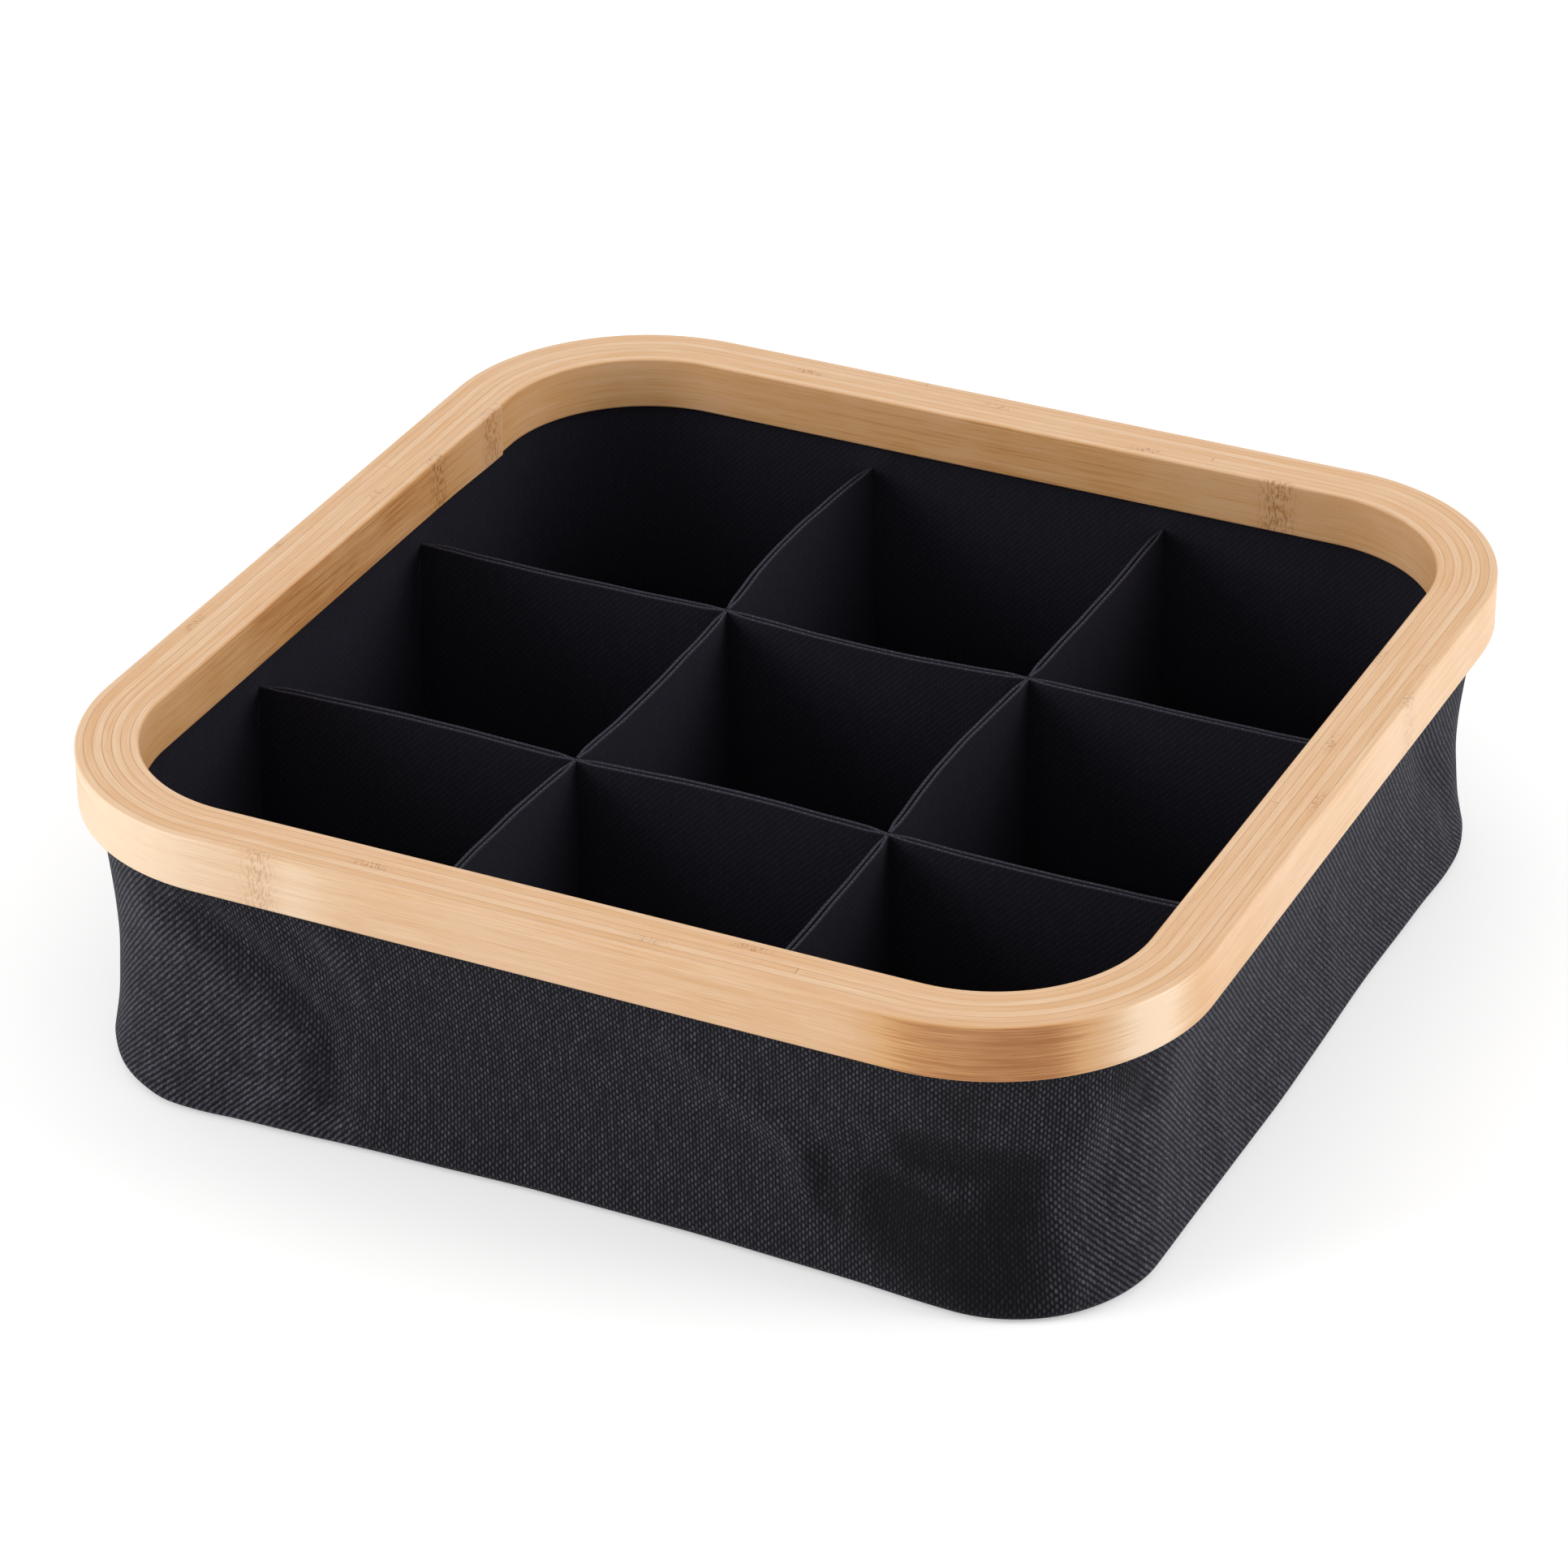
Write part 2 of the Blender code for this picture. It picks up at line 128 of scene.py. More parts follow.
# Height, lean and waist shares of the cloth wall, from its bottom fold up to the rim
WALL_ROWS = np.array(((0, 0, 0), (0.14, 0, 0.85), (0.28, 0, 1), (0.42, 0.01, 0.90),
                      (0.56, 0.11, 0.52), (0.73, 0.38, 0.14), (1, 1, 0)))


def stations(walks, half, radius):
    """Side, share of its flat and share of its bend, for walks round a rounded square.

    A walk starts at the middle of the front and goes counterclockwise, seen from above.
    """
    flat = half - radius
    bend = math.pi / 2 * radius
    side = np.floor((walks + flat) / (2 * flat + bend))
    along = walks - side * (2 * flat + bend)
    return side, np.clip(along / flat, -1, 1), np.clip((along - flat) / bend, 0, 1)


def ring(places, half, radius):
    """Points of a rounded square at those stations, and the directions that face out of it."""
    side, flat, bend = places
    angle = math.pi / 2 * bend
    turn = math.pi / 2 * side
    out = np.stack((np.sin(angle), -np.cos(angle)), -1)
    point = np.stack((flat, -np.ones_like(flat)), -1) * (half - radius) + out * radius
    spin = np.stack((np.cos(turn), -np.sin(turn), np.sin(turn), np.cos(turn)), -1)
    spin = spin.reshape(*turn.shape, 2, 2)
    return (spin @ point[..., None])[..., 0], (spin @ out[..., None])[..., 0]


def ring_walks(places, half, radius, lap):
    """Walks of the stations along a ring, scaled to one lap so that the threads run straight."""
    side, flat, bend = places
    flats, bends = 2 * (half - radius), math.pi / 2 * radius
    walk = side * (flats + bends) + flat * flats / 2 + bend * bends
    return walk * lap / (4 * (flats + bends))


def smooth_rows(table, shares):
    """Smooth values between the rows of a table whose first column grows."""
    slopes = np.gradient(table[:, 1:], table[:, 0], axis=0)
    index = np.clip(np.searchsorted(table[:, 0], shares, side="right") - 1, 0, len(table) - 2)
    step = (table[index + 1, 0] - table[index, 0])[:, None]
    t = (shares - table[index, 0])[:, None] / step
    return ((1 + 2 * t) * (1 - t) ** 2 * table[index, 1:]
            + t * (1 - t) ** 2 * step * slopes[index]
            + t * t * (3 - 2 * t) * table[index + 1, 1:]
            + t * t * (t - 1) * step * slopes[index + 1])


def wall_section(base_half, base_radius, hem_inset, count):
    """Rows (half side, corner radius, height) of a cloth wall, from its hem down to its fold."""
    shares = np.linspace(1, 0, count)
    lean, waist = smooth_rows(WALL_ROWS, shares).T
    half = base_half + (RIM_HALF - hem_inset - base_half) * lean - WAIST_DRAW * waist
    radius = base_radius + (RIM_CORNER_RADIUS - hem_inset - base_radius) * shares
    rows = np.stack((half, radius, FOLD_RADIUS + (RIM_UNDERSIDE - FOLD_RADIUS) * shares), -1)
    hem = np.linspace(HEM_TOP, RIM_UNDERSIDE, 4, endpoint=False)
    return np.concatenate(([(*rows[0, :2], height) for height in hem], rows))


def lengths_along(line):
    """How far along a line each of its points lies."""
    return np.concatenate(((0,), np.cumsum(np.linalg.norm(np.diff(line, axis=0), axis=1))))


def shell_rows(rows, thickness):
    """A section's rows with cloth thickness: down the outer face, round the edge and back up.

    Gives rows (half side, corner radius, height) and how far across the cloth each one lies.
    """
    run = np.gradient(rows[:, [0, 2]], axis=0)
    inward = np.stack((run[:, 1], -run[:, 0]), -1)
    inward /= np.linalg.norm(inward, axis=1)[:, None]
    middle = rows[:, [0, 2]] + inward * thickness / 2
    across = lengths_along(middle)
    faces, lengths = [], []
    for indices, sense in ((range(len(rows)), -1), (range(len(rows) - 1, -1, -1), 1)):
        for i in indices:
            faces.append((*(middle[i] + inward[i] * sense * thickness / 2), i))
            lengths.append(across[i])
        edge = indices[-1]
        away = run[edge] / np.linalg.norm(run[edge]) * (1 if edge else -1)
        for turn in (math.pi / 3, math.pi * 2 / 3):
            place = middle[edge] + thickness / 2 * (
                inward[edge] * sense * math.cos(turn) + away * math.sin(turn))
            faces.append((*place, edge))
            lengths.append(across[edge] + thickness / 2 * math.sin(turn) * (1 if edge else -1))
    made = [(half, rows[index, 1] + half - rows[index, 0], height) for half, height, index in faces]
    return np.array(made), np.array(lengths)


def placed(name, data):
    """An object in the scene that shows the data."""
    item = bpy.data.objects.new(name, data)
    bpy.context.scene.collection.objects.link(item)
    return item


def skin(name, points, lay, material, around, tube=True, crease=40):
    """A piece over a grid of points. Its lay, in metres along and across, is kept on every corner.

    Around closes each row on itself, and tube closes each column. Lay has one more column or
    row where its grid closes. An open end gets a face of its own.
    """
    rows, columns = points.shape[:2]
    index = np.arange(rows * columns).reshape(rows, columns)
    up = np.arange(rows if tube else rows - 1)
    on = np.arange(columns if around else columns - 1)
    i, j = np.meshgrid(up, on, indexing="ij")
    quad = ((0, 0), (1, 0), (1, 1), (0, 1))
    faces = np.stack([index[(i + a) % rows, (j + b) % columns] for a, b in quad], -1).reshape(-1, 4)
    corners = np.stack([lay[i + a, j + b] for a, b in quad], 2).reshape(-1, lay.shape[-1])
    faces = faces.tolist()
    if not around:
        faces += [index[::-1, 0].tolist(), index[:, -1].tolist()]
        corners = np.concatenate((corners, lay[:rows, 0][::-1], lay[:rows, -1]))
    if not tube:
        faces += [index[0].tolist(), index[-1].tolist()]
        corners = np.concatenate((corners, lay[0, :columns], lay[-1, :columns]))
    mesh = bpy.data.meshes.new(name)
    mesh.from_pydata(points.reshape(-1, 3).tolist(), [], faces)
    corners = np.pad(corners, ((0, 0), (0, 3 - lay.shape[-1])))
    kept = mesh.attributes.new("lay", "FLOAT_VECTOR", "CORNER")
    kept.data.foreach_set("vector", corners.astype(np.float32).ravel())
    shape = bmesh.new()
    shape.from_mesh(mesh)
    bmesh.ops.recalc_face_normals(shape, faces=shape.faces)
    shape.to_mesh(mesh)
    shape.free()
    mesh.shade_smooth()
    mesh.set_sharp_from_angle(angle=math.radians(crease))
    mesh.materials.append(material)
    return placed(name, mesh)


def keep_values(piece, name, values):
    """Keeps a number on each point of a piece, for its material to read."""
    kept = piece.data.attributes.new(name, "FLOAT", "POINT")
    kept.data.foreach_set("value", np.asarray(values, np.float32).ravel())


def wall_cloth(name, material, rows, across, columns, push_at):
    """A cloth wall over its section's rows.

    For each row, push_at(walks, half, flat, at_bend, height) says how far it stands out, where
    flat is the distance from the middle of a wall.
    """
    walks = np.linspace(0, SKIRT_LAP, columns, endpoint=False)
    places = stations(walks, BASE_HALF, BASE_CORNER_RADIUS)
    points, lay = [], []
    for (half, radius, height), length in zip(rows, across):
        line, out = ring(places, half, radius)
        push = push_at(walks, half, abs(places[1]) * (half - radius), places[2] > 0, height)
        line = line + out * push[:, None]
        points.append(np.column_stack((line, np.full_like(walks, height))))
        along = np.append(ring_walks(places, half, radius, SKIRT_LAP), SKIRT_LAP)
        lay.append(np.column_stack((along, np.full_like(along, length))))
    return skin(name, np.array(points), np.array(lay + lay[:1]), material, around=True)


def both_ways(walks):
    """Walks counted both ways from the middle of the front, as far as the left wall's middle."""
    return np.where(walks > SKIRT_LAP * 0.75, walks - SKIRT_LAP, walks)


# Folds of the slack cloth: the places (walk, height) in millimetres that a fold runs through,
# how far it stands out in millimetres (a hollow is below zero), and its half width
SKIRT_FOLDS = (
    (((-112, 62), (-92, 50), (-70, 31), (-66, 12)), -2.6, 6.0),
    (((-124, 56), (-104, 44), (-86, 30), (-82, 12)), 1.5, 8.0),
    (((-84, 64), (-74, 54)), -0.7, 3.5),
    (((-73, 68), (-60, 50)), 0.9, 4.5),
    (((40, 60), (62, 46), (74, 38), (76, 28)), 1.4, 5.0),
    (((84, 38), (82, 22)), -1.2, 4.5),
    (((84, 46), (98, 54)), 1.0, 5.0),
    (((122, 64), (124, 54)), -0.8, 3.5),
    (((98, 30), (118, 40), (132, 34), (131, 10)), -3.0, 11.0),
    (((101, 37), (120, 34)), 1.0, 3.0),
    (((146, 58), (146, 46), (140, 32), (140, 8)), 1.9, 5.0),
    (((158, 66), (162, 54)), -1.2, 4.0),
    (((191, 50), (200, 15)), -0.4, 7.0),
    (((207, 38), (215, 10)), 0.4, 4.5),
    (((294, 43), (297, 16)), 0.4, 5.0),
    (((359, 67), (372, 50), (392, 26), (396, 12)), -1.9, 8.0),
)
# Painted fold shading: above zero the threads are drawn darker and show less, as painted shade
# in the folds' hollows; below zero they are drawn brighter, as painted highlight on their ridges:
# places as above, amount, and half width
PAINTED_FOLD_SHADING_MOST = 0.80
SKIRT_PAINTED_FOLD_SHADING = (
    (((-118, 62), (-99, 47), (-85, 40)), 0.14, 4.5),
    (((-85, 40), (-74, 30), (-71, 16)), 0.22, 4.5),
    (((-135, 50), (-105, 30), (-90, 14)), -0.12, 14.0),
    (((-72, 66), (-61, 51)), -0.15, 4.0),
    (((81, 34), (81, 22)), 0.45, 4.5),
    (((110, 45), (132, 42), (132, 32)), 0.68, 7.0),
    (((104, 22), (124, 15)), 0.82, 18.0),
    (((101, 37), (120, 33)), -0.10, 3.0),
    (((122, 65), (123, 57)), 0.30, 4.0),
    (((148, 56), (147, 44), (143, 32), (142, 10)), -0.22, 6.0),
    (((155, 66), (160, 54)), 0.40, 3.5),
    (((42, 60), (62, 46), (74, 38)), -0.15, 5.0),
    (((385, 66), (392, 14)), 0.14, 16.0),
)
# How far the cloth's bottom fold lies outside its even outline: walk and distance, millimetres
BASE_SPREAD = np.array((
    (-185, 0), (-155, -1.0), (-145, -0.7), (-135, 0.6), (-125, 2.1), (-115, 4.0), (-105, 4.4),
    (-95, 3.7), (-75, 2.8), (-55, 1.6), (-35, 0.9), (-15, 0), (45, 0), (65, 0.8), (85, 1.6),
    (105, 2.9), (130, 3.3), (155, 2.5), (185, 2.7), (285, 3.1), (305, 2.6), (365, 2.9), (385, 3.4),
    (395, 2.8), (405, 1.0), (420, 0)))
SPREAD_HEIGHT = 48 * MM
SKIRT_RIPPLE = 0.22 * MM
# Over these heights the cloth is held by the rim above and by the base below
RIM_HOLDS = 7 * MM
BASE_HOLDS = 6 * MM
# In the middle of each wall the felt stands right behind, so the cloth can't sink in further
FELT_REACH = 60 * MM
FELT_MARGIN = 2 * MM
FELT_EDGE_SLOPE = 0.4
SINK_BEFORE_FELT = -0.22 * MM


def near_lines(walk, height, lines, power=2):
    """Sum of the lines' amounts at places in metres, each fading away from its line."""
    total = np.zeros_like(walk)
    for places, amount, width in lines:
        nearest = np.full_like(walk, np.inf)
        for (x0, y0), (x1, y1) in zip(places, places[1:]):
            dx, dy = x1 - x0, y1 - y0
            px, py = walk / MM - x0, height / MM - y0
            share = np.clip((px * dx + py * dy) / (dx * dx + dy * dy), 0, 1)
            nearest = np.minimum(nearest, np.hypot(px - share * dx, py - share * dy))
        total += amount * np.exp(-(nearest / width) ** power)
    return total


def spread(walk, height):
    """How far the skirt's foot is spread, which fades upwards."""
    shares = np.clip(walk / MM, BASE_SPREAD[0, 0], BASE_SPREAD[-1, 0])
    rise = np.clip(height / SPREAD_HEIGHT, 0, 1)
    return smooth_rows(BASE_SPREAD, shares)[:, 0] * MM * (1 - rise * rise * (3 - 2 * rise))


def ripple(walk, height, seed, walk_size, height_size):
    """Slow unevenness of hand-stretched cloth, from -1 to 1, as a few crossing waves."""
    draws = np.random.default_rng(seed)
    total = np.zeros_like(walk + height)
    waves = 7
    for _ in range(waves):
        turns = round(SKIRT_LAP / walk_size * draws.uniform(0.5, 1.6))
        turned = turns * walk / SKIRT_LAP + draws.uniform(-1, 1) / height_size * height
        total += np.sin(2 * math.pi * turned + draws.uniform(0, 6.3))
    return total / waves ** 0.5 / 1.5


def skirt_push(walks, half, flat, at_bend, height):
    """How far the skirt stands out from its even outline at one row."""
    slack = np.clip((RIM_UNDERSIDE - height) / RIM_HOLDS, 0, 1) * np.clip(height / BASE_HOLDS, 0, 1)
    push = MM * near_lines(both_ways(walks), height, SKIRT_FOLDS)
    push += SKIRT_RIPPLE * ripple(walks, height, 11, 60 * MM, 90 * MM)
    tucked = np.clip((BASE_HALF - LIP_WIDTH - half) / (FOLD_RADIUS - LIP_WIDTH), 0, 1)
    foot = spread(both_ways(walks), height) * (tucked if height < FOLD_RADIUS / 2 else 1)
    past_felt = np.clip(np.where(at_bend, 1, flat - FELT_REACH - FELT_MARGIN), 0, 1)
    return np.maximum(push * slack + foot, SINK_BEFORE_FELT - past_felt * FELT_EDGE_SLOPE)


def plain_weave(name, threads, warp, weft, painted_gap_shade, sheen, depth, twill=0.0):
    """Plain weave: each thread goes over one crossing thread and under the next.

    The upright threads are the thicker ones, and where they are given a paler colour than the
    crossing threads, a painted highlight, they stand out as rows of short pale strokes. The gap
    colour between and under the threads is painted shade.
    Where the cloth is pulled askew, or woven as twill, the strokes line up into diagonals.
    """
    surface = bpy.data.materials.new(name)
    add = nodes_for(surface)
    lay = add("Attribute", {}, out="Vector", attribute_name="lay")
    count = add("VectorMath", {0: lay, 1: (1 / threads[0], 1 / threads[1], 0)},
                operation="MULTIPLY")
    # No thread runs quite straight: each wanders by up to a fifth of its width
    wander = add("TexNoise", {"Vector": count, "Scale": 0.7, "Detail": 1.0}, out="Color")
    wander = add("VectorMath", {0: wander, 1: (0.5, 0.5, 0.5)}, operation="SUBTRACT")
    count = add("VectorMath", {0: wander, 1: (0.6, 0.6, 0), 2: count}, operation="MULTIPLY_ADD")
    half_turns = add("VectorMath", {0: count, 1: (math.pi, math.pi, 0)}, operation="MULTIPLY")
    waves = add("VectorMath", {0: half_turns}, operation="SINE")
    turned = add("VectorMath", {0: half_turns}, operation="COSINE")
    sizes = add("VectorMath", {0: waves}, operation="ABSOLUTE")
    cell = add("VectorMath", {0: count}, operation="FLOOR")
    wave, turned, size, cells, counts = [
        add("SeparateXYZ", {"Vector": part}).node.outputs
        for part in (waves, turned, sizes, cell, count)]
    crossing = add("Math", {0: wave["X"], 1: wave["Y"]}, operation="MULTIPLY")
    askew = add("Attribute", {}, out="Fac", attribute_name="askew")
    askew = add("Math", {0: askew, 1: twill}, operation="ADD")
    lean = add("Math", {0: askew, 1: turned["X"]}, operation="MULTIPLY")
    crossing = add("Math", {0: lean, 1: turned["Y"], 2: crossing}, operation="MULTIPLY_ADD")
    # Each thread is round across, and rises and dips along its length
    swell = []
    for across, middle, rise in (("X", 0.58, 0.42), ("Y", 0.24, -0.24)):
        round_off = add("Math", {0: size[across], 1: 1.1}, operation="POWER")
        lift = add("Math", {0: crossing, 1: rise, 2: middle}, operation="MULTIPLY_ADD")
        swell.append(add("Math", {0: round_off, 1: lift}, operation="MULTIPLY"))
    row = add("Math", {0: crossing, 1: 0.5, 2: 0.5}, operation="MULTIPLY_ADD")
    leaning = add("Math", {0: askew}, operation="ABSOLUTE")
    high = add("Mix", {0: leaning, 2: swell[0], 3: row})
    height = add("Math", {0: high, 1: swell[1]}, operation="MAXIMUM")
    lead = add("Math", {0: high, 1: swell[1]}, operation="SUBTRACT")
    over = add("MapRange", {"Value": lead, "From Min": -0.06, "From Max": 0.06})
    # Each thread keeps its own shade, which changes slowly along it where the yarn is thicker
    warp_place = add("CombineXYZ", {"X": cells["X"], "Y": counts["Y"]})
    weft_place = add("CombineXYZ", {"X": counts["X"], "Y": cells["Y"], "Z": 7.0})
    yarns = []
    for place, stretch, shades in ((warp_place, (0.73, 0.09, 1), warp),
                                   (weft_place, (0.09, 0.73, 1), weft)):
        place = add("VectorMath", {0: place, 1: stretch}, operation="MULTIPLY")
        yarn = add("TexNoise", {"Vector": place, "Scale": 1.0, "Detail": 2.0})
        yarns.append(add("ValToRGB", {"Fac": yarn}, stops=((0.3, shades[0]), (0.7, shades[1]))))
    yarn = add("Mix", {0: over, 6: yarns[1], 7: yarns[0]}, out=2, data_type="RGBA")
    # How much of the thread shows: where it dips it fades into the gap's painted shade, the painted
    # fold shading darkens or brightens it, and it is never quite even
    # Painted fold shading kept on the cloth: painted shade above zero, painted highlight below zero
    painted_fold_shading = add("Attribute", {}, out="Fac", attribute_name="painted_fold_shading")
    free = add("Math", {0: 1.0, 1: painted_fold_shading}, operation="SUBTRACT")
    uneven = add("TexWhiteNoise", {"Vector": cell}, noise_dimensions="3D")
    uneven = add("MapRange", {"Value": uneven, "To Min": 0.62, "To Max": 1.25})
    free = add("Math", {0: free, 1: uneven}, operation="MULTIPLY")
    shown = add("MapRange", {"Value": height, "From Min": 0.1, "From Max": 1.0, "To Max": 0.8})
    shown = add("Math", {0: shown, 1: free}, operation="MULTIPLY")
    colour = add("Mix", {0: shown, 6: linear(painted_gap_shade), 7: yarn}, out=2, data_type="RGBA")
    fuzz = add("TexNoise", {"Vector": count, "Scale": 3.0, "Detail": 2.0})
    rough = add("MapRange", {"Value": fuzz, "To Min": 0.62, "To Max": 0.92})
    relief = add("Math", {0: fuzz, 1: 0.25, 2: height}, operation="MULTIPLY_ADD")
    bump = add("Bump", {"Height": relief, "Distance": depth, "Strength": 1.0})
    fluff = add("Math", {0: shown, 1: sheen}, operation="MULTIPLY")
    shader = add("BsdfPrincipled", {
        "Base Color": colour, "Roughness": rough, "Normal": bump, "IOR": 1.5,
        "Specular IOR Level": 0.1, "Sheen Weight": fluff, "Sheen Roughness": 0.4,
        "Sheen Tint": linear("#CDCDDC")})
    add("OutputMaterial", {"Surface": shader})
    return surface


# Charcoal canvas: polyester yarn woven plain at about a thread a millimetre, which shows as
# fine pale dots on a nearly black ground, a little brighter where the cloth is seen edge on.
SKIRT_THREADS = (SKIRT_LAP / 1140, 1.02 * MM)
# The cloth is pulled askew before one line and after another: height and walk in millimetres.
# The pull fades out on the back and left walls, where the two ends of the walk meet.
MOST_ASKEW = 0.8
ASKEW_EDGE = 3
ASKEW_ENDS = (-260, 460)
ASKEW_FADE = 40
ASKEW_BEFORE = ((0, -52), (14, -66), (30, -77), (40, -86), (47, -99), (62, -113), (74, -124))
ASKEW_AFTER = ((0, 150), (12, 143), (34, 143), (50, 149), (66, 160), (74, 166))
ASKEW_PATCHES = ((((-72, 66), (-60, 51)), -0.5, 5.0), (((68, 40), (76, 30)), 0.3, 6.0))
# Its upright yarn is given paler than the crossing yarn, a painted highlight, and its gaps near
# black, painted shade
charcoal_canvas = plain_weave(
    "charcoal_polyester_canvas", SKIRT_THREADS, ("#41414A", "#5F5F6A"), ("#27262E", "#35343E"),
    "#07070A", 0.18, 0.14 * MM)

rows = wall_section(BASE_HALF, BASE_CORNER_RADIUS, SKIRT_HEM_INSET, SKIRT_ROWS)
turn_in = [(FOLD_RADIUS * (1 - math.cos(angle)), FOLD_RADIUS * (1 - math.sin(angle)))
           for angle in np.linspace(0, math.pi / 2, 9)[1:]]
turn_in += [(inset, 0) for inset in np.linspace(FOLD_RADIUS, LIP_WIDTH - SKIRT_CLOTH / 2, 5)[1:]]
turn_in = [(BASE_HALF - inset, BASE_CORNER_RADIUS - inset, height) for inset, height in turn_in]
rows, across = shell_rows(np.concatenate((rows, turn_in)), SKIRT_CLOTH)

skirt = wall_cloth("skirt_cloth", charcoal_canvas, rows, across, SKIRT_COLUMNS, skirt_push)
signed = both_ways(np.linspace(0, SKIRT_LAP, SKIRT_COLUMNS, endpoint=False))
askew, painted_fold_shading = [], []
for _, _, height in rows:
    before = np.interp(height / MM, *zip(*ASKEW_BEFORE)) - signed / MM
    after = signed / MM - np.interp(height / MM, *zip(*ASKEW_AFTER))
    pull = (MOST_ASKEW / (1 + np.exp(-after / ASKEW_EDGE))
            - MOST_ASKEW / (1 + np.exp(-before / ASKEW_EDGE)))
    pull *= (np.clip((ASKEW_ENDS[1] - signed / MM) / ASKEW_FADE, 0, 1)
             * np.clip((signed / MM - ASKEW_ENDS[0]) / ASKEW_FADE, 0, 1))
    askew.append(pull + near_lines(signed, height, ASKEW_PATCHES))
    painted_fold_shading.append(np.minimum(near_lines(signed, height, SKIRT_PAINTED_FOLD_SHADING, 4), PAINTED_FOLD_SHADING_MOST))
keep_values(skirt, "askew", askew)
# The painted fold shade and highlight, for the canvas to read
keep_values(skirt, "painted_fold_shading", painted_fold_shading)
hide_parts("outer_skirt")
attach(skirt, "base")
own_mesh(skirt)


# Base cover. The underside's own panel of the same charcoal canvas, glued flat to the board
# inside the skirt's turned-in edge, so that the bottom is closed.

COVER_INSET = LIP_WIDTH + 0.3 * MM
FLAT_COLUMNS = 240
FLAT_RINGS = 26
FLAT_LEAST = 0.02


def flat_cloth(name, material, half, radius, bottom, thickness, wave=0.0):
    """A flat panel of cloth with round corners, as rings of points that shrink to its middle.

    Its faint waves, some 100 mm long, fade out towards the glued edge.
    """
    lap = 8 * (half - radius) + 2 * math.pi * radius
    steps = stations(np.linspace(0, lap, FLAT_COLUMNS, endpoint=False), half, radius)
    shares = np.linspace(1, FLAT_LEAST, FLAT_RINGS)
    points = []
    for share, face in [(share, 1) for share in shares[::-1]] + [(share, 0) for share in shares]:
        line, _ = ring(steps, half * share, radius * share)
        lift = wave * np.sin(line[:, 0] / (17 * MM) + 2 * np.sin(line[:, 1] / (40 * MM)))
        lift = lift * np.cos(line[:, 1] / (23 * MM)) * min(1, (1 - share) * 8)
        points.append(np.column_stack((line, bottom + thickness * face + lift)))
    points = np.array(points)
    lay = np.concatenate((points[..., :2], points[:, :1, :2]), 1)
    return skin(name, points, lay, material, around=True, tube=False)


cover = flat_cloth("cover_cloth", charcoal_canvas, BASE_HALF - COVER_INSET,
                   BASE_CORNER_RADIUS - COVER_INSET, 0.0, SKIRT_CLOTH)
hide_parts("base_cover")
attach(cover, "base")


# Wall felts. Needled polyester felt, one panel between skirt and lining behind the middle of
# each wall. They keep the walls upright and let the corners fold.

LINING_CLOTH = 0.5 * MM
WALL_FELT = 2 * MM
# Room between sheets that lie on each other
SEAT = 0.3 * MM
WALL_STACK = SKIRT_CLOTH + WALL_FELT + LINING_CLOTH + 2 * SEAT
LINING_HEM_INSET = 14.46 * MM
FELT_LOW = FOLD_RADIUS + SEAT
FELT_HIGH = RIM_UNDERSIDE - 2 * MM
FELT_EDGE = 0.5 * MM
FELT_STEP = 5 * MM

# Felt: short polyester fibres needled together, so it is matt and soft, with no direction. They
# are too fine to show, and are drawn 0.6 mm wide.
FELT_FIBRE = 0.6 * MM


def needled_felt(name, dark, pale):
    surface = bpy.data.materials.new(name)
    add = nodes_for(surface)
    lay = add("Attribute", {}, out="Vector", attribute_name="lay")
    fibre = add("TexNoise", {"Vector": lay, "Scale": 1 / FELT_FIBRE, "Detail": 5.0,
                             "Distortion": 1.2})
    clump = add("TexNoise", {"Vector": lay, "Scale": 1 / (8 * FELT_FIBRE)})
    mottle = add("Math", {0: fibre, 1: clump}, operation="MULTIPLY")
    colour = add("ValToRGB", {"Fac": mottle}, stops=((0.12, dark), (0.40, pale)))
    rough = add("MapRange", {"Value": fibre, "To Min": 0.86, "To Max": 1.0})
    bump = add("Bump", {"Height": fibre, "Distance": 0.2 * MM, "Strength": 0.8})
    shader = add("BsdfPrincipled", {
        "Base Color": colour, "Roughness": rough, "Normal": bump, "Specular IOR Level": 0.2,
        "Sheen Weight": 0.2, "Sheen Roughness": 0.7})
    add("OutputMaterial", {"Surface": shader})
    return surface


grey_felt = needled_felt("grey_needled_felt", "#3C3C40", "#68686C")


def lining_half(height):
    """Half side of the lining's outer face at a height."""
    shares = np.clip((np.atleast_1d(height) - FOLD_RADIUS) / (RIM_UNDERSIDE - FOLD_RADIUS), 0, 1)
    lean, waist = smooth_rows(WALL_ROWS, shares).T
    low = BASE_HALF - (WALL_STACK - LINING_CLOTH)
    high = RIM_HALF - LINING_HEM_INSET + LINING_CLOTH
    return low + (high - low) * lean - WAIST_DRAW * waist


def filleted(corners, steps):
    """Outline through corners (inset, height, radius), with each corner rounded."""
    outline = []
    for index, (x, y, radius) in enumerate(corners):
        here = np.array((x, y))
        before = np.array(corners[index - 1][:2]) - here
        after = np.array(corners[(index + 1) % len(corners)][:2]) - here
        before /= np.linalg.norm(before)
        after /= np.linalg.norm(after)
        centre = here + (before + after) * radius
        for step in range(steps + 1):
            angle = math.pi / 2 * step / steps
            outline.append(centre - after * radius * math.cos(angle)
                           - before * radius * math.sin(angle))
    return np.array(outline)


def subdivided(outline, step):
    """The outline with points added on its long straight runs."""
    made = []
    for start, end in zip(outline, np.roll(outline, -1, axis=0)):
        pieces = max(1, int(np.linalg.norm(end - start) / step))
        made += [start + (end - start) * share for share in np.arange(pieces) / pieces]
    return np.array(made)


